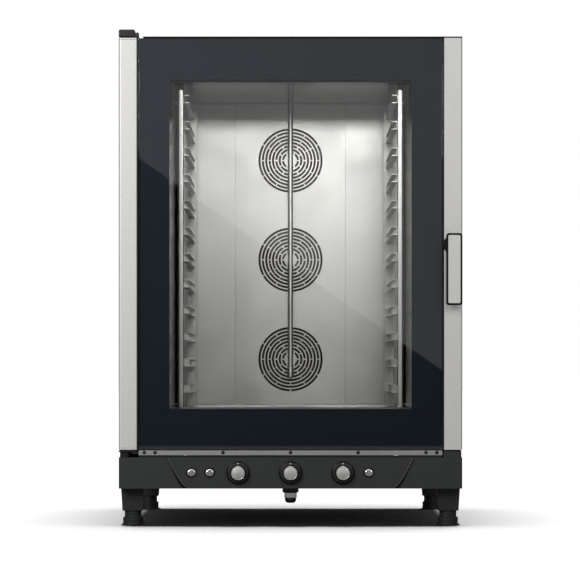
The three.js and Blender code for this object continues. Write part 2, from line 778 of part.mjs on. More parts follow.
// A push button: its origin is on its axis, in the front face of the fascia.
function button() {
  const halfX = buttonWidth / 2;
  const stemEnd = boardSetback - switchDepth - 5 - buttonTravel - 0.5;
  const rim = recess.depth - buttonTravel - 0.5;
  const dome = turnY([
    [0, -4], [halfX * 0.5, -3.5], [halfX * 0.85, -1.8], [halfX, 0.5], [halfX, rim], [0, rim],
  ], 24).scale(1, 1, buttonHeight / buttonWidth);
  return join(dome, rodY(3, [0, 0], [0, stemEnd], 16));
}

// The stainless tray under the door; its front shows as a strip above the fascia.
function dripTray() {
  const half = halfWidth - 50;
  const foot = trayTop - trayHeight;
  const front = 5;
  const back = framePlane - touch;
  const floor = block([-half, half], [front, back], [foot, foot + sheet]);
  const face = block([-half, half], [front, front + sheet], [foot, trayTop]);
  const ends = [-1, 1].map((side) => block(
    [side * half, side * (half - sheet)].sort((a, b) => a - b), [front, back], [foot, trayTop]));
  return join(floor, face, ...ends);
}

function controls(parent) {
  add(parent, 'control_fascia', controlFascia(), 'fascia');
  add(parent, 'control_board', controlBoard(), 'boardGreen');
  add(parent, 'drip_tray', dripTray(), 'stainless');
  knobPlaces.forEach((x, i) => {
    add(parent, `knob_${knobNames[i]}`, knob(), 'blackPlastic', [x, 0, controlZ]);
  });
  buttonPlaces.forEach((x, i) => {
    add(parent, `button_${buttonNames[i]}`, button(), 'chrome', [x, 0, controlZ]);
  });
}

// Legs and feet: the origin of each pair is on the leg's axis, on the floor --------------------------

function legBlock() {
  const top = legHeight - touch;
  const block4 = new THREE.CylinderGeometry(
    legTopWidth / Math.SQRT2, legFootWidth / Math.SQRT2, top - footHeight, 4);
  block4.rotateY(Math.PI / 4).rotateX(Math.PI / 2).translate(0, 0, (top + footHeight) / 2);
  return cut(block4, rodZ(stemRadius + 0.5, [0, 0], [0, footHeight + 46]));
}

function foot() {
  const top = footHeight - touch;
  return turnZ([
    [0, 0], [footFlangeRadius, 0], [footFlangeRadius, 3], [footRadius, 3.5], [footRadius, 21],
    [neckRadius, 21.5], [neckRadius, top], [stemRadius, top], [stemRadius, top + 42], [0, top + 42],
  ], 16);
}

function legs(parent) {
  const places = { front: frontLegSetback, rear: rearPlane - rearLegSetback };
  const sides = { left: -1, right: 1 };
  for (const [end, y] of Object.entries(places)) {
    for (const [side, sign] of Object.entries(sides)) {
      const corner = groupAt(parent, sign * (halfWidth - legInset), y, 0);
      add(corner, `leg_${end}_${side}`, legBlock(), 'blackPlastic');
      add(corner, `foot_${end}_${side}`, foot(), 'blackPlastic');
    }
  }
}

// Fittings -----------------------------------------------------------------------------------------

function drainSpigot() {
  const top = legHeight - touch;
  return turnZ([
    [0, top - 38], [8, top - 37], [13, top - 33], [14.5, top - 26], [16, top - 25.5], [16, top - 12],
    [20.5, top - 11.5], [20.5, top], [0, top],
  ], 16);
}

// Steam outlet: an open tube from the cavity through the top panel, with a collar on the panel.
function ventChimney() {
  const foot = cavityCeiling + touch;
  const head = cabinetTop + ventRise;
  const collar = cabinetTop + touch;
  const bore = ventRadius - 2;
  return turnZ([
    [bore, foot], [ventRadius, foot], [ventRadius, collar], [ventRadius + 12, collar],
    [ventRadius + 12, collar + 2], [ventRadius, collar + 2], [ventRadius, head], [bore, head], [bore, foot],
  ], 20);
}

// Cavity drain: an open elbow from the cavity floor down and out through the rear panel.
function drainPipe() {
  const { x, y, z, radius } = drain;
  const elbow = (r, extra) => [
    rodZ(r, [x, y], [z, cavityFloor - sheet - touch + extra], 16),
    new THREE.SphereGeometry(r, 16, 8).translate(x, y, z),
    rodY(r, [x, z], [y, rearPlane + fittingReach + extra], 16),
  ];
  return cut(join(...elbow(radius, 0)), ...elbow(radius - 3, 10));
}

function fitting({ x, z, radius }, bore) {
  const nut = new THREE.CylinderGeometry(radius + 7, radius + 7, 8, 6)
    .translate(x, rearPlane + touch + 4, z);
  const body = rodY(radius, [x, z], [rearPlane - 30, rearPlane + fittingReach]);
  return cut(join(nut, body), rodY(bore, [x, z], [rearPlane - 60, rearPlane + 60], 16));
}

function services(parent) {
  add(parent, 'drain_spigot', drainSpigot(), 'chrome', [0, 60, 0]);
  add(parent, 'vent_chimney', ventChimney(), 'stainless', [vent.x, vent.y, 0]);
  add(parent, 'drain_pipe', drainPipe(), 'steel');
  add(parent, 'cable_gland', fitting(fittings.gland, 7), 'blackPlastic');
  add(parent, 'water_inlet', fitting(fittings.water, 9), 'steel');
}

// Assembly -----------------------------------------------------------------------------------------

cabinet(oven);
cavity(oven);
fans(oven);
door(groupAt(oven, hingeX, hingeY, doorFoot));
add(oven, 'hinge_bracket_top', hingeBracketTop(), 'blackPlastic');
add(oven, 'hinge_bracket_bottom', hingeBracketBottom(), 'blackPlastic');
add(oven, 'door_keeper', doorKeeper(), 'steel');
handle(groupAt(oven, handleX, 0, doorFoot + handleHeight));
controls(oven);
legs(oven);
services(oven);

export default oven;
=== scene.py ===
import json
import math
import bmesh
import bpy
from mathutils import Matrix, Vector

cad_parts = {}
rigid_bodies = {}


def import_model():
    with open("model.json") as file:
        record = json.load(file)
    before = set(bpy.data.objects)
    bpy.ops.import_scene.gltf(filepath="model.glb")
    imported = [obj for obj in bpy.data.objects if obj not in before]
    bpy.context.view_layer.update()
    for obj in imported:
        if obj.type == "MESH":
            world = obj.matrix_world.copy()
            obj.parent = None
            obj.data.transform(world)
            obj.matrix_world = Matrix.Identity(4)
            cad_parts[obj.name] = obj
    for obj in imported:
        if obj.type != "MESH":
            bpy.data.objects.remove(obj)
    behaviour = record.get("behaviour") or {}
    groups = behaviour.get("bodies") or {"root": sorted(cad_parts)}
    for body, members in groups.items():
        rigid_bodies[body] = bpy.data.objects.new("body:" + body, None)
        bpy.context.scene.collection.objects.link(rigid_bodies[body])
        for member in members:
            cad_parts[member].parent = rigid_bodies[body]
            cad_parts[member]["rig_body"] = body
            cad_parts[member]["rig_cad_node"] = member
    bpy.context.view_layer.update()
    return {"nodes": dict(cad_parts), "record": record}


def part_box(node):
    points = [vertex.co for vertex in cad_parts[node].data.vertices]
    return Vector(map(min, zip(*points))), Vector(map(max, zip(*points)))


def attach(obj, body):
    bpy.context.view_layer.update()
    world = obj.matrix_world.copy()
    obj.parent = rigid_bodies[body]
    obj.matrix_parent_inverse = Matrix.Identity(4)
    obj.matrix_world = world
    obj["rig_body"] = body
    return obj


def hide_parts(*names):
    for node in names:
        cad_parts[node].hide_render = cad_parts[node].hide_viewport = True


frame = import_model()
nodes = frame["nodes"]
mounts = {mount["name"]: mount for mount in frame["record"]["mounts"]}
mm = 0.001
sides = {"left": -1, "right": 1}
print("frame loaded:", len(nodes), "nodes")


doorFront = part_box("door_profile_left")[0].y

cameraSizes = {
    "distance": 6.03,  # from the door's front face
    "height": 0.393,  # the lens looks level, from low down
    "lens": 149.7,
    "shiftX": -0.0009,
    "shiftY": 0.1379,  # frames the whole oven and keeps its upright lines upright
}

lightSizes = {
    "worldLight": 0.12,
    "worldShine": 0.16,  # what polished faces see
    "cardGlow": 0.36,  # the pale card that the upper right of the glass shows
    "cardHalf": 1.1,
    "cardTop": 3.0,
    "sunStrength": 1.2,  # on the oven
    "floorSun": 6.5,  # on the grey-white floor, so that it reads white beyond the shadow
    "sunAngle": 40,
    "key": {"place": (-2.1, -3.6, 2.0), "size": (1.6, 1.6), "power": 84},
    "fill": {"place": (2.2, -4.4, 2.2), "size": (1.4, 1.8), "power": 44},
    "cavity": {"place": (0.6, -4.3, 1.56), "size": (2.0, 0.3), "power": 24.5},
    "flagTop": ((-3.0, 3.04), (3.0, -1.16)),  # the flag's slanted edge, across and up
}


def makeCamera():
    camera = bpy.data.objects.new("camera", bpy.data.cameras.new("camera"))
    bpy.context.scene.collection.objects.link(camera)
    camera.location = (0, doorFront - cameraSizes["distance"], cameraSizes["height"])
    camera.rotation_euler = (math.radians(90), 0, 0)
    camera.data.lens = cameraSizes["lens"]
    camera.data.shift_x = cameraSizes["shiftX"]
    camera.data.shift_y = cameraSizes["shiftY"]
    camera.data.clip_end = 200
    bpy.context.scene.camera = camera


def hexColor(text):  # sRGB hex to the linear values that shaders use
    values = [int(text[i:i + 2], 16) / 255 for i in (1, 3, 5)]
    linear = [v / 12.92 if v <= 0.04045 else ((v + 0.055) / 1.055) ** 2.4 for v in values]
    return (*linear, 1)


def addNode(tree, kind, settings=None, links=None):
    node = tree.nodes.new("ShaderNode" + kind)
    for key, value in (settings or {}).items():
        if key in node.inputs:
            node.inputs[key].default_value = value
        else:
            setattr(node, key, value)
    for key, socket in (links or {}).items():
        tree.links.new(socket, node.inputs[key])
    return node


def aimedLight(name, place, size, power, target):
    data = bpy.data.lights.new(name, "AREA")
    data.shape = "RECTANGLE"
    data.size, data.size_y = size
    data.energy = power
    light = bpy.data.objects.new(name, data)
    bpy.context.scene.collection.objects.link(light)
    light.location = place
    light.rotation_euler = (Vector(target) - Vector(place)).to_track_quat("-Z", "Y").to_euler()
    light.visible_camera = False
    return light


def makeWorld():
    world = bpy.data.worlds.new("studio")
    bpy.context.scene.world = world
    world.use_nodes = True
    tree = world.node_tree
    tree.nodes.clear()
    seen = addNode(tree, "Background", {"Color": (1, 1, 1, 1), "Strength": 1.0})
    path = addNode(tree, "LightPath")
    strengths = {"To Min": lightSizes["worldLight"], "To Max": lightSizes["worldShine"]}
    level = addNode(tree, "MapRange", strengths, {"Value": path.outputs["Is Glossy Ray"]})
    lit = addNode(tree, "Background", {"Color": (1, 1, 1, 1)}, {"Strength": level.outputs[0]})
    mix = addNode(tree, "MixShader", links={0: path.outputs["Is Camera Ray"], 1: lit.outputs[0],
                                            2: seen.outputs[0]})
    addNode(tree, "OutputWorld", links={"Surface": mix.outputs[0]})


def makeFloor():
    bpy.ops.object.select_all(action="DESELECT")
    bpy.ops.mesh.primitive_plane_add(size=80)
    floor = bpy.context.active_object
    floor.name = "floor"
    material = bpy.data.materials.new("pale floor")
    material.use_nodes = True
    tree = material.node_tree
    shader = tree.nodes["Principled BSDF"]
    seen = addNode(tree, "LightPath").outputs["Is Camera Ray"]
    color = addNode(tree, "MixRGB", {"Color1": hexColor("#5e5e5e"), "Color2": hexColor("#bebebe")},
                    {"Fac": seen})  # pale to the eye, but throws little light up under the oven
    tree.links.new(color.outputs[0], shader.inputs["Base Color"])
    shader.inputs["Roughness"].default_value = 0.9
    shader.inputs["Specular IOR Level"].default_value = 0.0
    floor.data.materials.append(material)
    return floor


def studioCard(name, corners, color, glow):  # a card behind the camera that only shiny faces see
    bpy.ops.object.select_all(action="DESELECT")
    bpy.ops.mesh.primitive_plane_add(size=2)
    card = bpy.context.active_object
    card.name = name
    back = doorFront - cameraSizes["distance"] - 0.4
    for vertex, (x, z) in zip(card.data.vertices, corners):
        vertex.co = (x, back, z)
    material = bpy.data.materials.new(name)
    material.use_nodes = True
    shader = material.node_tree.nodes["Principled BSDF"]
    shader.inputs["Base Color"].default_value = hexColor(color)
    shader.inputs["Specular IOR Level"].default_value = 0.0
    shader.inputs["Emission Color"].default_value = (1, 1, 1, 1)
    shader.inputs["Emission Strength"].default_value = glow
    card.data.materials.append(material)
    card.visible_camera = card.visible_diffuse = card.visible_shadow = False


def makeCards():  # a black card and a glowing one meet on a slant, which crosses the door glass
    (leftX, leftZ), (rightX, rightZ) = lightSizes["flagTop"]
    half, top = lightSizes["cardHalf"], lightSizes["cardTop"]
    slope = (rightZ - leftZ) / (rightX - leftX)
    edge = [leftZ + slope * (x - leftX) for x in (-half, half)]
    studioCard("black card", [(leftX, -4), (rightX, -4), (leftX, leftZ), (rightX, rightZ)], "#05070a", 0)
    studioCard("pale card", [(-half, edge[0]), (half, edge[1]), (-half, top), (half, top)], "#000000",
               lightSizes["cardGlow"])


def softSun(name, strength):
    sun = bpy.data.objects.new(name, bpy.data.lights.new(name, "SUN"))
    bpy.context.scene.collection.objects.link(sun)
    sun.data.energy = strength
    sun.data.angle = math.radians(lightSizes["sunAngle"])
    return sun


def makeLights(floor):
    receivers = {name: bpy.data.collections.new("lit " + name) for name in ("floor", "oven", "cavity")}
    receivers["floor"].objects.link(floor)
    softSun("floor sun", lightSizes["floorSun"]).light_linking.receiver_collection = receivers["floor"]
    softSun("sun", lightSizes["sunStrength"]).light_linking.receiver_collection = receivers["oven"]
    for name, target in (("key", (0, 0, 0.6)), ("fill", (0, 0, 0.6)), ("cavity", (0, 0.1, 0.75))):
        sizes = lightSizes[name]
        light = aimedLight(name + " light", sizes["place"], sizes["size"], sizes["power"], target)
        light.light_linking.receiver_collection = receivers["cavity" if name == "cavity" else "oven"]
    return receivers


makeCamera()
makeWorld()
floor = makeFloor()
makeCards()
receivers = makeLights(floor)
bpy.context.scene.view_settings.view_transform = "Standard"
print("camera and lights done")


def deselect():
    if bpy.context.mode != "OBJECT":
        bpy.ops.object.mode_set(mode="OBJECT")
    bpy.ops.object.select_all(action="DESELECT")


def pick(piece):
    deselect()
    piece.select_set(True)
    bpy.context.view_layer.objects.active = piece


def settle(piece):  # puts the piece's place into its mesh
    pick(piece)
    bpy.ops.object.transform_apply(location=True, rotation=True, scale=True)
    return piece


def named(name):
    piece = bpy.context.active_object
    piece.name = piece.data.name = name
    return piece


def addBlock(name, low, high):
    deselect()
    low, high = Vector(low), Vector(high)
    bpy.ops.mesh.primitive_cube_add(size=1, location=(low + high) / 2, scale=high - low)
    return settle(named(name))


def addRod(name, low, high, radius, vertices=48):  # along Y, from low to high
    deselect()
    low, high = Vector(low), Vector(high)
    along = high - low
    bpy.ops.mesh.primitive_cylinder_add(
        vertices=vertices, radius=radius, depth=along.length, location=(low + high) / 2,
        rotation=along.to_track_quat("Z", "Y").to_euler())
    return settle(named(name))


facing = {  # turns local +Z to a direction
    "up": (0, 0, 0),
    "front": (math.pi / 2, 0, 0),
    "back": (-math.pi / 2, 0, 0),
}


def addTurned(name, centre, direction, profile, vertices=48, oval=1.0):
    # a closed solid of revolution; profile holds (radius, height) in mm from one flat end to the other
    deselect()
    radius, height = profile[0]
    bpy.ops.mesh.primitive_circle_add(
        vertices=vertices, radius=radius * mm, fill_type="NGON", location=(0, 0, height * mm))
    piece = settle(named(name))
    bpy.ops.object.mode_set(mode="EDIT")
    bpy.ops.mesh.select_mode(type="FACE")
    bpy.ops.mesh.select_all(action="SELECT")
    for nextRadius, nextHeight in profile[1:]:
        bpy.ops.mesh.extrude_region_move(
            TRANSFORM_OT_translate={"value": (0, 0, (nextHeight - height) * mm)})
        scale = nextRadius / radius
        bpy.ops.transform.resize(value=(scale, scale, 1), center_override=(0, 0, nextHeight * mm))
        radius, height = nextRadius, nextHeight
    bpy.ops.mesh.select_all(action="SELECT")
    bpy.ops.mesh.normals_make_consistent(inside=False)
    bpy.ops.object.mode_set(mode="OBJECT")
    piece.scale = (1, oval, 1)
    piece.rotation_euler = facing[direction]
    piece.location = centre
    return settle(piece)


def choose(piece, kind, test):  # enters edit mode with the faces or edges that pass the test
    pick(piece)
    bpy.ops.object.mode_set(mode="EDIT")
    bpy.ops.mesh.select_mode(type=kind)
    bpy.ops.mesh.select_all(action="DESELECT")
    mesh = bmesh.from_edit_mesh(piece.data)
    for part in mesh.faces if kind == "FACE" else mesh.edges:
        if test(part):
            part.select_set(True)
    mesh.select_flush_mode()
    bmesh.update_edit_mesh(piece.data)


def applyModifier(piece, kind, **settings):
    pick(piece)
    modifier = piece.modifiers.new(kind.lower(), kind)
    for key, value in settings.items():
        setattr(modifier, key, value)
    bpy.ops.object.modifier_apply(modifier=modifier.name)
    return piece


def bevel(piece, width, segments=2, angle=30):
    return applyModifier(piece, "BEVEL", width=width * mm, segments=segments,
                         limit_method="ANGLE", angle_limit=math.radians(angle))


def cutBy(piece, cutter):
    applyModifier(piece, "BOOLEAN", operation="DIFFERENCE", solver="EXACT", object=cutter)
    bpy.data.objects.remove(cutter)
    return piece


def joined(first, *others):
    pick(first)
    for other in others:
        other.select_set(True)
    bpy.ops.object.join()
    return first


def copied(piece, name, shift):
    other = piece.copy()
    other.data = piece.data.copy()
    other.name = other.data.name = name
    bpy.context.scene.collection.objects.link(other)
    other.location = shift
    return settle(other)


def repeated(piece, count, step):  # a row of copies in one mesh
    return applyModifier(piece, "ARRAY", count=count, use_relative_offset=False,
                         use_constant_offset=True, constant_offset_displace=step)


def done(piece, body, material, smooth=35, stands=()):
    pick(piece)
    bpy.ops.object.shade_smooth_by_angle(angle=math.radians(smooth))
    applyModifier(piece, "WEIGHTED_NORMAL", weight=100, keep_sharp=True)  # keeps flat faces flat
    piece.data.materials.clear()
    piece.data.materials.append(material)
    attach(piece, body)
    for node in stands:
        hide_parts(node)
    return piece


def bodyOf(node):
    return nodes[node]["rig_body"]


def refined(node, name, material, width=0.6, segments=2):  # the CAD shape with its edges rounded
    source = nodes[node]
    piece = source.copy()
    piece.data = source.data.copy()
    piece.name = piece.data.name = name
    piece.parent = None
    del piece["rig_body"], piece["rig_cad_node"]
    bpy.context.scene.collection.objects.link(piece)
    settle(piece)
    if piece.data.has_custom_normals:
        bpy.ops.mesh.customdata_custom_splitnormals_clear()
    bpy.ops.object.mode_set(mode="EDIT")
    bpy.ops.mesh.select_all(action="SELECT")
    bpy.ops.mesh.remove_doubles(threshold=0.02 * mm)
    bpy.ops.mesh.dissolve_limited(angle_limit=math.radians(0.5))
    bpy.ops.object.mode_set(mode="OBJECT")
    if width:
        bevel(piece, width, segments)
        for vertex in piece.data.vertices:  # a rounded corner stays inside the part's own box
            vertex.co = [min(max(value, low), high) for value, low, high in zip(vertex.co, *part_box(node))]
    return done(piece, bodyOf(node), material, stands=[node])


def middle(node):
    low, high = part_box(node)
    return (low + high) / 2


def newMaterial(name, color, metallic, roughness, settings=None):
    material = bpy.data.materials.new(name)
    material.use_nodes = True
    shader = material.node_tree.nodes["Principled BSDF"]
    shader.inputs["Base Color"].default_value = hexColor(color)
    shader.inputs["Metallic"].default_value = metallic
    shader.inputs["Roughness"].default_value = roughness
    for key, value in (settings or {}).items():
        shader.inputs[key].default_value = value
    return material, material.node_tree, shader


def grain(tree, size, detail=2.0):  # noise whose spots measure size, in mm along X, Y and Z
    place = addNode(tree, "TexCoord")
    scale = addNode(tree, "Mapping", {"Scale": [1 / (s * mm) for s in size]},
                    {"Vector": place.outputs["Object"]})
    noise = addNode(tree, "TexNoise", {"Scale": 1.0, "Detail": detail}, {"Vector": scale.outputs[0]})
    return noise.outputs["Fac"]


def ranged(tree, source, low, high, start=0.3, end=0.7):
    return addNode(tree, "MapRange", {"From Min": start, "From Max": end, "To Min": low, "To Max": high},
                   {"Value": source}).outputs[0]


def tinted(tree, source, first, second, start=0.3, end=0.7):
    share = ranged(tree, source, 0, 1, start, end)
    return addNode(tree, "MixRGB", {"Color1": hexColor(first), "Color2": hexColor(second)},
                   {"Fac": share}).outputs[0]


def bumped(tree, shader, source, depth, strength=1.0):
    bump = addNode(tree, "Bump", {"Distance": depth * mm, "Strength": strength}, {"Height": source})
    tree.links.new(bump.outputs[0], shader.inputs["Normal"])


def anodisedAluminium():
    # blasted and anodised extrusion: an even pale satin with a fine speckle, no grain direction
    material, tree, shader = newMaterial("satin anodised aluminium", "#dddcd9", 0.55, 0.48)
    speckle = grain(tree, (1.6, 1.6, 1.6), 3)  # the real blast grit is 0.1 mm, drawn coarse to show
    tree.links.new(tinted(tree, speckle, "#d2d1ce", "#e4e3e0"), shader.inputs["Base Color"])
    tree.links.new(ranged(tree, speckle, 0.42, 0.54), shader.inputs["Roughness"])
    bumped(tree, shader, speckle, 0.03, 0.5)
    return material


def brushedSteel(name="brushed stainless sheet", color="#c3c3c2", along=0, roughness=0.36):
    # rolled and brushed sheet: long fine scratches along the sheet that stretch the highlights
    material, tree, shader = newMaterial(name, color, 1.0, roughness)
    size = [0.9, 0.9, 0.9]  # scratches are about 0.1 mm wide, drawn wider so that they show
    size[along] = 90
    lines = grain(tree, size, 3)
    cloud = grain(tree, (140, 140, 140), 2)
    tree.links.new(ranged(tree, lines, roughness - 0.05, roughness + 0.07), shader.inputs["Roughness"])
    dark = "#%02x%02x%02x" % tuple(int(int(color[i:i + 2], 16) * 0.97) for i in (1, 3, 5))
    tree.links.new(tinted(tree, cloud, dark, color), shader.inputs["Base Color"])
    bumped(tree, shader, lines, 0.02, 0.35)
    return material


def satinCavitySteel(name="satin cavity steel", color="#d9d8d7", roughness=0.31, dark=None):
    # cold rolled 2B sheet: soft milky reflections that fade away from the lamp
    material, tree, shader = newMaterial(name, color, 1.0, roughness)
    fine = grain(tree, (2.2, 2.2, 2.2), 3)
    cloud = grain(tree, (90, 90, 90), 2)
    if dark:  # painted shade: from this depth back, behind the baffle, the liner's colour turns near black to stand in for the shade of the fan chamber
        place = addNode(tree, "TexCoord")
        depth = addNode(tree, "SeparateXYZ", links={"Vector": place.outputs["Object"]}).outputs["Y"]
        tree.links.new(tinted(tree, depth, color, "#14110e", dark, dark + 0.02),
                       shader.inputs["Base Color"])
    tree.links.new(ranged(tree, cloud, roughness - 0.02, roughness + 0.03), shader.inputs["Roughness"])
    bumped(tree, shader, fine, 0.01, 0.25)
    return material


def galvanisedSheet():
    # hot-dip zinc: grey flakes a few millimetres across, each catching the light differently
    material, tree, shader = newMaterial("galvanised sheet", "#a3a6a7", 0.9, 0.45)
    place = addNode(tree, "TexCoord")
    flakes = addNode(tree, "TexVoronoi", {"Scale": 1 / (6 * mm)}, {"Vector": place.outputs["Object"]})
    bright = addNode(tree, "SeparateColor", links={"Color": flakes.outputs["Color"]}).outputs[0]
    tree.links.new(tinted(tree, bright, "#989b9d", "#aeb1b2", 0, 1), shader.inputs["Base Color"])
    tree.links.new(ranged(tree, bright, 0.41, 0.5, 0, 1), shader.inputs["Roughness"])
    return material


def polishedChrome():
    # plated and polished: a hard mirror with faint rub marks
    material, tree, shader = newMaterial("polished chrome plate", "#e3e3e4", 1.0, 0.08)
    tree.links.new(ranged(tree, grain(tree, (6, 6, 6), 3), 0.05, 0.13), shader.inputs["Roughness"])
    return material


def satinChromedPlastic(name, roughness):
    # plated ABS caps with a fine turned face: silvery, softer than chromed metal
    material, tree, shader = newMaterial(name, "#d4d3d0", 1.0, roughness)
    rings = grain(tree, (3, 3, 3), 2)
    tree.links.new(ranged(tree, rings, roughness - 0.04, roughness + 0.06), shader.inputs["Roughness"])
    bumped(tree, shader, rings, 0.02, 0.2)
    return material


def mouldedPlastic(name, dark, light, grit, depth, roughness, shine=0.4):
    # injection moulded against a spark-eroded tool: a fine matte orange-peel grain
    material, tree, shader = newMaterial(name, dark, 0.0, roughness, {"Specular IOR Level": shine})
    texture = grain(tree, (grit, grit, grit), 3)
    tree.links.new(tinted(tree, texture, dark, light), shader.inputs["Base Color"])
    tree.links.new(ranged(tree, texture, roughness - 0.06, roughness + 0.08), shader.inputs["Roughness"])
    bumped(tree, shader, texture, depth, 0.6)
    return material


def paintedSteel():
    # black powder coat: even, with a slight orange peel and a soft sheen
    material, tree, shader = newMaterial("black powder coat", "#0d0e10", 0.0, 0.35)
    peel = grain(tree, (1.5, 1.5, 1.5), 2)
    tree.links.new(ranged(tree, peel, 0.3, 0.42), shader.inputs["Roughness"])
    bumped(tree, shader, peel, 0.03, 0.5)
    return material


def ceramicPrint():
    # enamel fired on the back of the glass: flat blue-black, dead even under the gloss
    material, tree, shader = newMaterial("fired ceramic print", "#16212b", 0.0, 0.6,
                                         {"Specular IOR Level": 0.2})
    dots = grain(tree, (1.2, 1.2, 1.2), 1)
    tree.links.new(tinted(tree, dots, "#15202a", "#18242e"), shader.inputs["Base Color"])
    return material


def paneGlass(name, tint, gloss):
    # toughened float glass: clear, a trace of green, a sharp mirror image on each face
    material = bpy.data.materials.new(name)
    material.use_nodes = True
    tree = material.node_tree
    tree.nodes.clear()
    clear = addNode(tree, "BsdfTransparent", {"Color": hexColor(tint)})
    mirror = addNode(tree, "BsdfGlossy", {"Color": hexColor("#f4f7f8"), "Roughness": gloss})
    facingShare = addNode(tree, "Fresnel", {"IOR": 1.5})
    mix = addNode(tree, "MixShader", links={0: facingShare.outputs[0], 1: clear.outputs[0],
                                            2: mirror.outputs[0]})
    addNode(tree, "OutputMaterial", links={"Surface": mix.outputs[0]})
    return material


def siliconeRubber():
    # extruded black silicone: matte with a dusty bloom
    material, tree, shader = newMaterial("black silicone rubber", "#050506", 0.0, 0.62,
                                         {"Specular IOR Level": 0.2})
    bloom = grain(tree, (5, 5, 5), 3)
    tree.links.new(tinted(tree, bloom, "#040405", "#0a0a0b"), shader.inputs["Base Color"])
    tree.links.new(ranged(tree, bloom, 0.55, 0.7), shader.inputs["Roughness"])
    return material


def mineralWool():
    # pressed rock fibre: a dull yellow-brown mat with streaks of loose fibre
    material, tree, shader = newMaterial("mineral wool", "#a8996c", 0.0, 0.95)
    fibres = grain(tree, (14, 2, 2), 5)
    tree.links.new(tinted(tree, fibres, "#857748", "#c7ba8e"), shader.inputs["Base Color"])
    bumped(tree, shader, fibres, 1.5, 0.8)
    return material


def heatedSteel():
    # nickel alloy sheath that has been hot: dull brown-grey with straw and blue patches
    material, tree, shader = newMaterial("heat-stained alloy", "#5f5a55", 0.9, 0.42)
    tree.links.new(tinted(tree, grain(tree, (25, 25, 25), 3), "#4d4f57", "#77694f"),
                   shader.inputs["Base Color"])
    return material


def castPaint():
    # motor casting under stove enamel: pebbly mid grey
    material, tree, shader = newMaterial("painted motor casting", "#4a4d50", 0.1, 0.55)
    pebble = grain(tree, (3, 3, 3), 3)
    tree.links.new(tinted(tree, pebble, "#434649", "#54575a"), shader.inputs["Base Color"])
    bumped(tree, shader, pebble, 0.15, 0.6)
    return material


def boardLaminate():
    # glass-epoxy board under green solder mask: glossy with faint darker tracks
    material, tree, shader = newMaterial("green board laminate", "#1f5a3a", 0.0, 0.3)
    tree.links.new(tinted(tree, grain(tree, (3, 12, 1.4), 2), "#17492f", "#2a6c47"),
                   shader.inputs["Base Color"])
    return material


def paleMark():
    # pad-printed white ink: slightly warm, matte, a little thin at its edge
    material, tree, shader = newMaterial("white pad print", "#dcdcd8", 0.0, 0.6)
    tree.links.new(tinted(tree, grain(tree, (0.8, 0.8, 0.8), 1), "#cfcfcb", "#e6e6e2"),
                   shader.inputs["Base Color"])
    return material


finishes = {
    "aluminium": anodisedAluminium(),
    "stainless": brushedSteel(),
    "stripSteel": brushedSteel("brushed strip steel", "#b6b5b3", 0, 0.42),
    "serviceSteel": brushedSteel("turned service steel", "#b0b1b2", 1, 0.3),
    "cavity": satinCavitySteel(),
    # painted shade: this liner is coloured near black behind the baffle's front face
    "liner": satinCavitySteel("bright cavity steel with painted shade behind the baffle", "#b9b8b6", 0.2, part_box("baffle_center")[1].y),
    "rail": satinCavitySteel("satin rail steel", "#dddcda", 0.3),
    "fan": satinCavitySteel("heat-dulled fan steel", "#45433f", 0.3),
    "galvanised": galvanisedSheet(),
    "chrome": polishedChrome(),
    "cap": satinChromedPlastic("bright chromed cap", 0.24),
    "knobCap": satinChromedPlastic("satin chromed cap", 0.42),
    "rim": satinChromedPlastic("bright cap rim", 0.32),
    "fascia": mouldedPlastic("grained charcoal polycarbonate", "#262728", "#2e3031", 1.3, 0.06, 0.5),
    "leg": mouldedPlastic("grained black nylon", "#1c1d1f", "#26282a", 1.8, 0.09, 0.55),
    "black": mouldedPlastic("smooth black nylon", "#060708", "#0b0c0d", 1.2, 0.03, 0.34, 0.25),
    # painted highlight: a paler plastic for the crease bead, standing in for the light its rounded edge
    # catches
    "edge": mouldedPlastic("paler charcoal painted highlight", "#5c5e60", "#66686a", 1.3, 0.01, 0.35),
    "coat": paintedSteel(),
    "print": ceramicPrint(),
    "outerGlass": paneGlass("toughened outer glass", "#fefefe", 0.01),
    "innerGlass": paneGlass("low-emission inner glass", "#fefefd", 0.01),
    "rubber": siliconeRubber(),
    "wool": mineralWool(),
    "heater": heatedSteel(),
    "motor": castPaint(),
    "board": boardLaminate(),
    "mark": paleMark(),
}
print("materials done:", len(finishes))


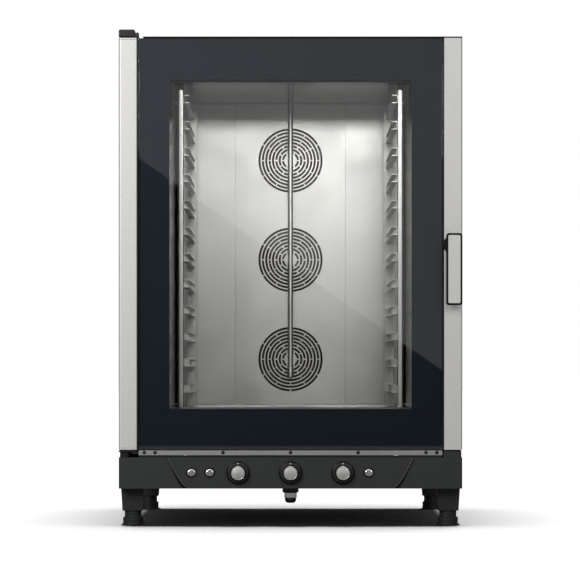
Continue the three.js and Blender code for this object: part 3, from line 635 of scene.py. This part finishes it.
shellBevels = {  # node: piece name, finish, edge radius in mm
    "base_tray": ("baseTray", "galvanised", 0.5),
    "side_panel_left": ("sidePanelLeft", "stainless", 1.2),
    "side_panel_right": ("sidePanelRight", "stainless", 1.2),
    "top_panel": ("topPanel", "stainless", 0.5),
    "rear_panel": ("rearPanel", "stainless", 0.5),
    "front_frame": ("frontFrame", "stainless", 0.5),
    "cavity_liner": ("cavityLiner", "liner", 0.5),
    "cavity_gasket": ("cavityGasket", "rubber", 1.5),
    "baffle_left": ("baffleLeft", "cavity", 0.7),
    "baffle_right": ("baffleRight", "cavity", 0.7),
    "heater_lower": ("heaterLower", "heater", 0),
    "heater_middle": ("heaterMiddle", "heater", 0),
    "heater_upper": ("heaterUpper", "heater", 0),
    "fan_motor_lower": ("fanMotorLower", "motor", 1.5),
    "fan_motor_middle": ("fanMotorMiddle", "motor", 1.5),
    "fan_motor_upper": ("fanMotorUpper", "motor", 1.5),
    "fan_lower": ("fanWheelLower", "fan", 0),
    "fan_middle": ("fanWheelMiddle", "fan", 0),
    "fan_upper": ("fanWheelUpper", "fan", 0),
    "door_keeper": ("doorKeeper", "galvanised", 0.6),
    "hinge_bracket_bottom": ("hingeBracketBottom", "coat", 0.8),
    "hinge_bush_bottom": ("hingeBushBottom", "aluminium", 0.4),
    "hinge_bush_top": ("hingeBushTop", "aluminium", 0.4),
    "door_profile_left": ("doorProfileLeft", "aluminium", 0.8),
    "door_profile_right": ("doorProfileRight", "aluminium", 0.8),
    "door_rail_bottom": ("doorRailBottom", "galvanised", 0.5),
    "door_rail_top": ("doorRailTop", "galvanised", 0.5),
    "door_glass_inner": ("doorGlassInner", "innerGlass", 1.2),
    "control_fascia": ("controlFascia", "fascia", 1.0),
    "drip_tray": ("dripTray", "stripSteel", 0.4),
    "leg_front_left": ("legFrontLeft", "leg", 1.6),
    "leg_front_right": ("legFrontRight", "leg", 1.6),
    "leg_rear_left": ("legRearLeft", "leg", 1.6),
    "leg_rear_right": ("legRearRight", "leg", 1.6),
    "latch_cam": ("latchCam", "galvanised", 0.6),
}

for node, (name, finish, width) in shellBevels.items():
    refined(node, name, finishes[finish], width)
for node, finish in {"insulation_jacket": "wool", "control_board": "board"}.items():
    for place in nodes[node].material_slots:
        place.material = finishes[finish]
print("shell done:", len(shellBevels), "pieces")


glassSizes = {"edge": 1.0, "windowHalf": 303, "windowFoot": 295.5, "windowHead": 1120,
              "windowCorner": 2.5, "printDepth": 0.5, "seam": 0.25}


def doorGlass():
    low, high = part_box("door_glass_outer")
    pane = bevel(addBlock("doorGlassOuter", low, high), glassSizes["edge"], 2)
    done(pane, "door", finishes["outerGlass"], stands=["door_glass_outer"])
    back = high.y + 0.1 * mm
    inset = 0.6 * mm
    border = addBlock("printedBorder", (low.x + inset, back, low.z + inset),
                      (high.x - inset, back + glassSizes["printDepth"] * mm, high.z - inset))
    half = glassSizes["windowHalf"] * mm
    window = addBlock("window", (-half, back - 0.01, glassSizes["windowFoot"] * mm),
                      (half, back + 0.01, glassSizes["windowHead"] * mm))
    choose(window, "EDGE", lambda edge: abs(edge.verts[0].co.y - edge.verts[1].co.y) > 0.001)
    bpy.ops.mesh.bevel(offset=glassSizes["windowCorner"] * mm, segments=4)
    deselect()
    done(cutBy(border, window), "door", finishes["print"])


def glassSeams():  # black beads of silicone between the pane and the two profiles
    low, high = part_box("door_glass_outer")
    for side, sign in sides.items():
        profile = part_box("door_profile_" + side)
        near = (high.x if sign > 0 else low.x) + sign * glassSizes["seam"] * mm
        far = (profile[0].x if sign > 0 else profile[1].x) - sign * glassSizes["seam"] * mm
        bead = addBlock("glassSeam" + side.title(), (min(near, far), low.y + 1 * mm, low.z + 1 * mm),
                        (max(near, far), low.y + 18 * mm, high.z - 1 * mm))
        done(bevel(bead, 1.0, 3), "door", finishes["rubber"])


doorGlass()
glassSeams()
print("door glass done")


grilleSizes = {
    "hub": 16.2,       # plain disc in the middle
    "pitch": 9.2,      # from ring of slots to ring of slots
    "slot": 5.7,       # width of a slot
    "rings": 8,
    "bridge": 3.2,     # metal left between the slots of one ring
    "slotsPerRing": 6,
    "firstSlot": 1.3,  # from the plain disc to the first ring of slots
    "edge": 88.6,      # radius of the whole grille
    "clearance": 0.02,
    "steps": 180,      # corners round each ring
}


def grilleDisc(name, centre, front, thickness):
    deselect()
    sizes = grilleSizes
    bpy.ops.mesh.primitive_circle_add(vertices=sizes["steps"], radius=sizes["hub"] * mm, fill_type="NGON",
                                      rotation=(0, 0, math.pi / sizes["steps"]))
    disc = settle(named(name))
    radii = [sizes["hub"]]
    for ring in range(sizes["rings"]):
        start = sizes["hub"] + sizes["firstSlot"] + ring * sizes["pitch"]
        radii += [start, start + sizes["slot"]]
    radii.append(sizes["edge"])
    bpy.ops.object.mode_set(mode="EDIT")
    bpy.ops.mesh.select_mode(type="EDGE")
    bpy.ops.mesh.select_all(action="SELECT")
    for before, after in zip(radii, radii[1:]):
        bpy.ops.mesh.extrude_edges_move()
        scale = after / before
        bpy.ops.transform.resize(value=(scale, scale, 1), center_override=(0, 0, 0))
    bpy.ops.object.mode_set(mode="OBJECT")

    def inSlot(face):
        place = face.calc_center_median()
        radius = math.hypot(place.x, place.y) / mm
        for ring in range(sizes["rings"]):
            start = radii[1 + 2 * ring]
            if start < radius < start + sizes["slot"]:
                sector = math.tau / sizes["slotsPerRing"]
                turn = math.atan2(place.y, place.x) + (sector / 2 if ring % 2 else 0)
                off = (turn + sector / 2) % sector - sector / 2
                return abs(off) * radius > sizes["bridge"] / 2
        return False

    choose(disc, "FACE", inSlot)
    bpy.ops.mesh.delete(type="FACE")
    bpy.ops.object.mode_set(mode="OBJECT")
    applyModifier(disc, "SOLIDIFY", thickness=thickness, offset=-1)
    disc.rotation_euler = facing["front"]
    disc.location = (centre.x, front, centre.z)
    return settle(disc)


def baffleCenter():
    low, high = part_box("baffle_center")
    plate = addBlock("baffleCenter", low, high)
    discs = []
    for level in ("lower", "middle", "upper"):
        centre = middle("fan_" + level)
        hole = addRod("hole", (0, low.y - 0.01, centre.z), (0, high.y + 0.01, centre.z),
                      (grilleSizes["edge"] - grilleSizes["clearance"]) * mm, grilleSizes["steps"])
        cutBy(plate, hole)
        if discs:
            discs.append(copied(discs[0], "disc", (0, 0, centre.z - middle("fan_lower").z)))
        else:
            discs.append(grilleDisc("disc", centre, low.y, high.y - low.y))
    joined(plate, *discs)
    done(plate, "cabinet", finishes["cavity"], 30, ["baffle_center"])


baffleCenter()
print("baffle done")


rackSizes = {
    "levels": 12,
    "pitch": 67,
    "railHeight": 18,
    "sheet": 1.5,
    "lip": 14.5,
    "fold": 1.8,
    "railInset": 15,       # from the rack's outer side to the rails' web
    "frontGap": 2,         # rails start this far behind the rack's front
    "rearGap": 3,
    "post": 16,            # width of the front post
    "postReturn": 11,
    "postFold": 4,
    "rearPost": 26,
    "rearPostReturn": 9,
    "rearPostFold": 2,
}


def foldedStrip(name, corners, low, high, thickness, radius):
    # a strip of sheet folded along upright or level lines: corners are (x, y) or (x, z) points of
    # its section, drawn out along the third direction
    axis, start, end = ("z", low, high) if name.startswith("post") else ("y", low, high)

    def at(point, along):
        return (point[0], point[1], along) if axis == "z" else (point[0], along, point[1])

    deselect()
    bpy.ops.mesh.primitive_plane_add(size=1)
    strip = named(name)
    first = [at(corners[0], start), at(corners[1], start), at(corners[0], end), at(corners[1], end)]
    for vertex, place in zip(strip.data.vertices, first):
        vertex.co = place
    for before, after in zip(corners[1:], corners[2:]):
        last = [Vector(at(before, start)), Vector(at(before, end))]
        choose(strip, "EDGE", lambda edge: all(min((v.co - p).length for p in last) < 1e-6
                                               for v in edge.verts))
        move = Vector(at(after, 0)) - Vector(at(before, 0))
        bpy.ops.mesh.extrude_edges_move(TRANSFORM_OT_translate={"value": move})
        bpy.ops.object.mode_set(mode="OBJECT")
    pick(strip)
    bpy.ops.object.mode_set(mode="EDIT")
    bpy.ops.mesh.select_all(action="SELECT")
    bpy.ops.mesh.normals_make_consistent(inside=False)
    bpy.ops.object.mode_set(mode="OBJECT")
    choose(strip, "EDGE", lambda edge: len(edge.link_faces) == 2)
    bpy.ops.mesh.bevel(offset=radius * mm, segments=5)
    bpy.ops.object.mode_set(mode="OBJECT")
    applyModifier(strip, "SOLIDIFY", thickness=thickness * mm, offset=0)
    return strip


def trayRack(side, sign):
    low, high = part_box("rack_" + side)
    sizes = rackSizes
    lowest = mounts["lowest_rail_" + side]["pos_m"][2]
    outer = max(abs(low.x), abs(high.x))
    web = outer - sizes["railInset"] * mm
    lip = web - sizes["lip"] * mm
    half = sizes["sheet"] * mm / 2
    top = lowest + sizes["railHeight"] * mm
    section = [(sign * lip, lowest - half), (sign * web, lowest - half),
               (sign * web, top), (sign * lip, top)]
    rail = foldedStrip("rail", section, low.y + sizes["frontGap"] * mm, high.y - sizes["rearGap"] * mm,
                       sizes["sheet"], sizes["fold"])
    repeated(rail, sizes["levels"], (0, 0, sizes["pitch"] * mm))
    front = low.y + half
    inner = outer - sizes["post"] * mm
    back = front + sizes["postReturn"] * mm
    post = foldedStrip("postFront", [(sign * (inner + half), back), (sign * (inner + half), front),
                                     (sign * (outer - half), front), (sign * (outer - half), back)],
                       low.z, high.z, sizes["sheet"], sizes["postFold"])
    rearInner = min(abs(low.x), abs(high.x)) + half
    rearOuter = rearInner + sizes["rearPost"] * mm
    rear = high.y - half
    ahead = rear - sizes["rearPostReturn"] * mm
    rearPost = foldedStrip("postRear", [(sign * rearInner, ahead), (sign * rearInner, rear),
                                        (sign * rearOuter, rear), (sign * rearOuter, ahead)],
                           low.z, high.z, sizes["sheet"], sizes["rearPostFold"])
    rail.name = rail.data.name = "trayRack" + side.title()
    joined(rail, post, rearPost)
    done(rail, "cabinet", finishes["rail"], 40, ["rack_" + side])


for side, sign in sides.items():
    trayRack(side, sign)
print("racks done")


def steamPipe():
    low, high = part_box("steam_pipe")
    centre = (low + high) / 2
    length = (high.z - low.z) / mm
    tube = (high.x - low.x) / mm / 2
    profile = [(tube - 3.2, 6), (tube - 2.6, 0.4), (tube - 1.8, 0), (tube - 0.6, 0.2), (tube, 1.2),
               (tube, 25), (tube - 0.8, 26.5), (tube - 1.5, 28), (tube - 1.5, length - 0.5),
               (tube - 2.2, length)]
    pipe = addTurned("steamPipe", (centre.x, centre.y, low.z), "up", profile, 40)
    done(pipe, "cabinet", finishes["rail"], 40, ["steam_pipe"])


steamPipe()


knobSizes = {
    "ridge": 24.6,     # foot of the raised middle
    "collar": 19.6,    # black wall that holds the cap
    "cap": 17.6,
    "rim": 1.7,
    "dish": 1.3,       # how deep the cap's face is dished
    "flutes": 36,
}


def knob(which):
    low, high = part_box("knob_" + which)
    fascia = doorFront
    centre = Vector(((low.x + high.x) / 2, 0, (low.z + high.z) / 2))
    skirt = (high.x - low.x) / mm / 2
    reach = (fascia - low.y) / mm
    base = -1.5
    cap = knobSizes["cap"]
    profile = [(skirt, base - 5), (skirt, base), (skirt, 5.2), (skirt - 0.7, 6.4), (skirt - 1.9, 6.9),
               (skirt - 2.3, 5.9), (skirt - 3.0, 5.9), (skirt - 3.5, 7.2), (knobSizes["ridge"], 8.3),
               (knobSizes["collar"] + 1.6, 8.9), (knobSizes["collar"] + 0.7, 10.2),
               (knobSizes["collar"], reach - 4), (cap + 1.0, reach - 2.4), (cap + 0.3, reach - 2.2)]
    name = "knob" + which.title()
    body = addTurned(name, (centre.x, fascia, centre.z), "front", profile, 72)
    flute = addBlock("flute", (-0.45 * mm, 0, knobSizes["collar"] * mm - 0.4 * mm),
                     (0.45 * mm, (reach - 15) * mm, knobSizes["collar"] * mm + 0.55 * mm))
    bevel(flute, 0.3, 1)
    flutes = []
    for i in range(knobSizes["flutes"]):
        ridge = copied(flute, "flute", (0, 0, 0))
        ridge.rotation_euler = (0, math.tau * i / knobSizes["flutes"], 0)
        ridge.location = (centre.x, fascia - (reach - 4.5) * mm, centre.z)
        flutes.append(settle(ridge))
    bpy.data.objects.remove(flute)
    joined(body, *flutes)
    done(body, "knob_" + which, finishes["black"], 35, ["knob_" + which])
    rim, dish = knobSizes["rim"], knobSizes["dish"]
    face = addTurned(name + "Cap", (centre.x, fascia, centre.z), "front",
                     [(cap - rim - 0.4, reach - 6), (cap - rim, reach - 1.6),
                      (cap - rim - 0.4, reach - dish), (cap * 0.7, reach - dish + 0.45),
                      (cap * 0.45, reach - dish + 0.85),
                      (cap * 0.2, reach - dish + 1.1), (0.2, reach - dish + 1.2)], 72)
    done(face, "knob_" + which, finishes["knobCap"], 40)
    ring = addTurned(name + "Rim", (centre.x, fascia, centre.z), "front",
                     [(cap - 0.6, reach - 6), (cap, reach - 5), (cap, reach - 0.9),
                      (cap - 0.4, reach - 0.3), (cap - 0.9, reach), (cap - 1.4, reach - 0.3),
                      (cap - rim, reach - 1.2)], 72)
    done(ring, "knob_" + which, finishes["rim"], 40)
    collar = knobSizes["collar"] + 0.9
    band = addTurned(name + "Band", (centre.x, fascia, centre.z), "front",
                     [(skirt - 3.1, 5.6), (skirt - 3.5, 7.35), (knobSizes["ridge"], 8.45),
                      (collar + 0.7, 9.05), (collar, 8.6)], 72)
    done(band, "knob_" + which, finishes["fascia"], 40)
    mark = addTurned(name + "Mark", (centre.x, fascia - 7.4 * mm, centre.z + (skirt - 6.4) * mm), "front",
                     [(1.9, 0), (1.9, 1.2), (1.5, 1.5)], 24)
    done(mark, "knob_" + which, finishes["mark"])


for which in ("temperature", "timer", "humidity"):
    knob(which)


def button(which):
    node = "button_" + which
    low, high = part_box(node)
    fascia = doorFront
    centre = Vector(((low.x + high.x) / 2, 0, (low.z + high.z) / 2))
    half = (high.x - low.x) / mm / 2
    oval = (high.z - low.z) / (high.x - low.x)
    top = (fascia - low.y) / mm
    dome = addTurned("button" + which.title(), (centre.x, fascia, centre.z), "front",
                     [(half - 0.8, -2.2), (half, -1.6), (half, 0.2), (half - 0.4, 1.2),
                      (half - 1.2, top - 1.5), (half - 2.8, top - 0.7), (half * 0.55, top - 0.3),
                      (half * 0.35, top - 0.55), (half * 0.2, top - 0.2), (1.0, top)], 56, oval)
    stem = addRod("stem", (centre.x, fascia + 2 * mm, centre.z), (centre.x, high.y, centre.z), 3 * mm, 24)
    joined(dome, stem)
    done(dome, bodyOf(node), finishes["cap"], 40, [node])
    well = addTurned("buttonWell" + which.title(), (centre.x, fascia, centre.z), "front",
                     [(half + 2.2, -4.95), (half + 2.2, -0.6), (half + 1.5, -0.3), (half + 0.9, -0.9),
                      (half + 0.9, -4.8), (3.4, -4.85)], 56, (half * oval + 2.2) / (half + 2.2))
    done(well, "cabinet", finishes["black"], 40)


for which in ("start", "light", "pump"):
    button(which)
print("knobs and buttons done")


creaseSizes = {
    "head": (306, 173),    # where the curved edge of the raised part starts, across and up
    "foot": (252, 97),     # and where it ends
    "bend": (272, 97),     # its corner of control
    "depth": 6.9,          # from the raised part back to the corner parts
    "width": 0.5,          # the cove narrows the curve to this share at its outer edge
    "bead": 0.7,
    "steps": 8,
}


def creaseCurve(sign, depth):  # the edge of the raised part of the fascia
    deselect()
    bpy.ops.curve.primitive_bezier_curve_add()
    curve = bpy.context.active_object
    head, foot, bend = (Vector((sign * creaseSizes[end][0] * mm, doorFront + depth * mm,
                                creaseSizes[end][1] * mm)) for end in ("head", "foot", "bend"))
    for point, place in zip(curve.data.splines[0].bezier_points, (head, foot)):
        point.handle_left_type = point.handle_right_type = "FREE"
        point.co = place
        point.handle_left = point.handle_right = place + (bend - place) * 2 / 3
    curve.data.resolution_u = 20
    return curve


def creaseCove(side, sign):  # a hollow cove that runs from the crease out to the corner part, in black plastic darker than the fascia: painted shade along the crease
    sizes = creaseSizes
    creaseCurve(sign, 0.6)
    bpy.ops.object.convert(target="MESH")
    cove = named("fasciaCrease" + side.title())
    bpy.ops.object.mode_set(mode="EDIT")
    bpy.ops.mesh.select_all(action="SELECT")
    share = depth = 0
    for step in range(1, sizes["steps"] + 1):
        along = step / sizes["steps"]
        nextShare, nextDepth = along ** 1.6, 1 - (1 - along) ** 2.4
        bpy.ops.mesh.extrude_edges_move(TRANSFORM_OT_translate={
            "value": (0, (nextDepth - depth) * sizes["depth"] * mm, 0)})
        narrow = (1 - nextShare * (1 - sizes["width"])) / (1 - share * (1 - sizes["width"]))
        bpy.ops.transform.resize(value=(narrow, 1, 1), center_override=(sign * sizes["head"][0] * mm, 0, 0))
        share, depth = nextShare, nextDepth
    bpy.ops.mesh.select_all(action="SELECT")
    bpy.ops.mesh.normals_make_consistent(inside=False)
    bpy.ops.object.mode_set(mode="OBJECT")
    if cove.data.polygons[0].normal.y > 0:
        pick(cove)
        bpy.ops.object.mode_set(mode="EDIT")
        bpy.ops.mesh.flip_normals()
        bpy.ops.object.mode_set(mode="OBJECT")
    # the black plastic paints the shade in the cove
    done(cove, "cabinet", finishes["black"], 60)


def creaseBead(side, sign):  # the rounded edge of the raised part, a tube of paler plastic along the crease: a painted highlight
    bead = creaseCurve(sign, 0.35)
    bead.data.bevel_depth = creaseSizes["bead"] * mm
    bead.data.bevel_resolution = 3
    bpy.ops.object.convert(target="MESH")
    done(named("creaseBead" + side.title()), "cabinet", finishes["edge"], 60)


for side, sign in sides.items():
    creaseCove(side, sign)
    creaseBead(side, sign)
print("fascia creases done")


topSizes = {
    "capFoot": 0.2,
    "capHeight": 3.3,
    "capDepth": (0.6, 19),    # from the door's front face
    "capStart": -369,
    "coverSize": (40, 60, 20),
    "coverRound": 3.2,
    "plateSpan": (30, 50),    # across, from the outer side of the cover
    "plateRise": 3.2,
    "hookPlace": 43.4,
    "hookWidth": 7,
    "hookDepth": 14,
    "hookRise": 12.6,
    "pinPlace": 14,
    "pin": 4.9,
}


def doorTopCap():  # a thin black cap along the head of the door
    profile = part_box("door_profile_right")[1]
    head = profile.z + topSizes["capFoot"] * mm
    front, back = (doorFront + depth * mm for depth in topSizes["capDepth"])
    cap = addBlock("doorTopCap", (topSizes["capStart"] * mm, front, head),
                   (profile.x - 0.5 * mm, back, head + topSizes["capHeight"] * mm))
    done(bevel(cap, 0.8, 2), "door", finishes["black"])


def hingeTop():  # the black cover over the top hinge, with a small upright hook beside it
    sizes = topSizes
    low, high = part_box("hinge_bracket_top")
    wide, deep, tall = (size * mm for size in sizes["coverSize"])
    base = max(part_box("top_panel")[1].z, high.z - tall) + 0.1 * mm
    front, back = low.y, low.y + deep
    cover = bevel(addBlock("hingeCover", (low.x, front, base), (low.x + wide, back, high.z)),
                  sizes["coverRound"], 4)
    plateLeft, plateRight = (low.x + place * mm for place in sizes["plateSpan"])
    plate = addBlock("plate", (plateLeft, front + 2 * mm, base),
                     (plateRight, back, base + sizes["plateRise"] * mm))
    hookLeft = low.x + sizes["hookPlace"] * mm
    hook = addBlock("hook", (hookLeft, front + 1 * mm, base),
                    (hookLeft + sizes["hookWidth"] * mm, front + sizes["hookDepth"] * mm,
                     base + sizes["hookRise"] * mm))
    bevel(plate, 0.8, 2)
    bevel(hook, 2.4, 4)
    pinX, pinY = low.x + sizes["pinPlace"] * mm, middle("hinge_bush_top").y
    pin = addRod("pin", (pinX, pinY, low.z), (pinX, pinY, base + 2 * mm), sizes["pin"] * mm, 32)
    joined(cover, plate, hook, pin)
    done(cover, "cabinet", finishes["coat"], 50, ["hinge_bracket_top"])


doorTopCap()
hingeTop()
print("door head done")


foldSizes = {"half": 312.6, "reach": 6, "gap": 0.3}


def baffleFolds():  # the sheet's folded head and foot, which meet the liner
    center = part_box("baffle_center")
    half, gap = foldSizes["half"] * mm, foldSizes["gap"] * mm
    front = center[0].y - foldSizes["reach"] * mm
    for name, low, high in (("baffleHead", center[1].z + gap, center[1].z + 3.9 * mm),
                            ("baffleFoot", center[0].z - 3.9 * mm, center[0].z - gap)):
        fold = addBlock(name, (-half, front, low), (half, center[1].y, high))
        done(bevel(fold, 0.9, 3), "cabinet", finishes["cavity"])


baffleFolds()
print("folds done")


handleSizes = {"insertShrink": (0.975, 1, 0.993)}  # leaves a black line all round it
refined("handle_body", "handleBody", finishes["black"], 1.8, 3)
insert = refined("handle_insert", "handleInsert", finishes["aluminium"], 1.6, 3)
pick(insert)
bpy.ops.object.mode_set(mode="EDIT")
bpy.ops.mesh.select_all(action="SELECT")
bpy.ops.transform.resize(value=handleSizes["insertShrink"], center_override=middle("handle_insert"))
bpy.ops.object.mode_set(mode="OBJECT")
print("handle done")


screwSizes = {
    "head": 4.6,
    "height": 2.0,
    "line": 186.5,  # height of the row on the strip
    "stripPlaces": (-366, -339, -169, 0, 169, 339, 366),
}


def screw(name, centre, direction):  # a domed head with a cross recess
    head = screwSizes["head"]
    rise = screwSizes["height"]
    piece = addTurned(name, (0, 0, 0), "up", [(head, 0), (head, 0.5), (head * 0.86, rise * 0.7),
                                              (head * 0.6, rise * 0.95), (head * 0.3, rise)], 28)
    slot = 0.5 * mm
    for wide, long in ((slot, 0.5 * head * mm), (0.5 * head * mm, slot)):
        cutBy(piece, addBlock("slot", (-wide, -long, rise * mm * 0.45), (wide, long, rise * mm * 1.5)))
    piece.rotation_euler = facing[direction]
    piece.location = centre
    return settle(piece)


shadeStripSizes = {"half": 379, "front": 8, "back": 10, "rise": 78, "foot": 0.3, "head": 5.2}


def paintedShadeStrip():  # a black strip that fills the gap between the steel strip and the fascia: painted shade for the dark line there
    half, front, back, rise, foot, head = (value * mm for value in shadeStripSizes.values())
    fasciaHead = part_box("drain_spigot")[1].z + rise
    strip = addBlock("paintedShadeStrip", (-half, doorFront + front, fasciaHead + foot),
                     (half, doorFront + back, fasciaHead + head))
    done(strip, "cabinet", finishes["coat"])


def stripScrews():
    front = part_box("drip_tray")[0].y + 0.1 * mm
    first = screw("stripScrews", (0, front, screwSizes["line"] * mm), "front")
    others = [copied(first, "screw", (x * mm, 0, 0)) for x in screwSizes["stripPlaces"] if x]
    joined(first, *others)
    done(first, "cabinet", finishes["coat"], 40)


paintedShadeStrip()
stripScrews()
print("screws done")


footSizes = {"base": 25.5, "neck": 21.5, "stem": 11, "neckTop": 37.7}


def screwFoot(node, name):
    low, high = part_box(node)
    centre = (low + high) / 2
    flange = (high.x - low.x) / mm / 2
    top = (high.z - low.z) / mm
    base, neck, stem, neckTop = footSizes.values()
    profile = [(flange - 1, 0), (flange, 0.8), (flange, 2.4), (flange - 0.8, 3.2), (base + 0.3, 3.6),
               (base, 4.6), (base, 10.6), (base - 0.8, 11.2), (base - 0.8, 12.0), (base, 12.6),
               (base, 19.8), (base - 1.2, 21.2), (neck, 21.8), (neck, 28.6), (neck - 0.8, 29.2),
               (neck - 0.8, 30), (neck, 30.6), (neck, neckTop - 0.6), (neck - 0.6, neckTop),
               (stem, neckTop), (stem, top - 1), (stem - 1, top)]
    piece = addTurned(name, (centre.x, centre.y, low.z), "up", profile, 56)
    done(piece, node, finishes["leg"], 35, [node])


for end in ("front", "rear"):
    for side in sides:
        screwFoot("foot_" + end + "_" + side, "foot" + end.title() + side.title())


def drainSpigot():
    low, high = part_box("drain_spigot")
    centre = (low + high) / 2
    flange = (high.x - low.x) / mm / 2
    place = (centre.x, centre.y, high.z)
    body = addTurned("drainSpigot", place, "up",
                     [(13.4, -26), (15.2, -25), (16, -24.2), (16, -12.6), (15, -11.8), (15, -0.2)], 56)
    done(body, "cabinet", finishes["chrome"], 35, ["drain_spigot"])
    cap = addTurned("drainCap", place, "up",
                    [(5, -38), (8.5, -37.6), (11.4, -36), (13.6, -33), (14.4, -29.5), (14.4, -27),
                     (13.8, -26.2), (12.8, -26.1)], 56)
    done(cap, "cabinet", finishes["coat"], 40)
    # painted reflection: the flange is given black powder coat, standing in for the dark reflections in its
    # chrome
    ring = addTurned("drainFlange", place, "up",
                     [(17, -12), (flange - 0.6, -11.6), (flange, -11), (flange, -0.8),
                      (flange - 0.8, -0.1)], 56)
    done(ring, "cabinet", finishes["coat"], 40)


drainSpigot()
for node, name, finish, width in (("vent_chimney", "ventChimney", "serviceSteel", 0.6),
                                  ("drain_pipe", "drainPipe", "serviceSteel", 0.6),
                                  ("cable_gland", "cableGland", "black", 0.8),
                                  ("water_inlet", "waterInlet", "serviceSteel", 0.8)):
    refined(node, name, finishes[finish], width)
print("fittings done")


studioPieces = ("floor", "black card", "pale card")
cavityPieces = ("baffleCenter", "baffleLeft", "baffleRight", "baffleHead", "baffleFoot",
                "trayRackLeft", "trayRackRight", "steamPipe")
for piece in bpy.context.scene.objects:  # each lamp lights only what is linked to its collection
    if piece.type == "MESH" and piece.name not in studioPieces:
        receivers["oven"].objects.link(piece)
    if piece.name in cavityPieces:
        receivers["cavity"].objects.link(piece)

print("scene done")
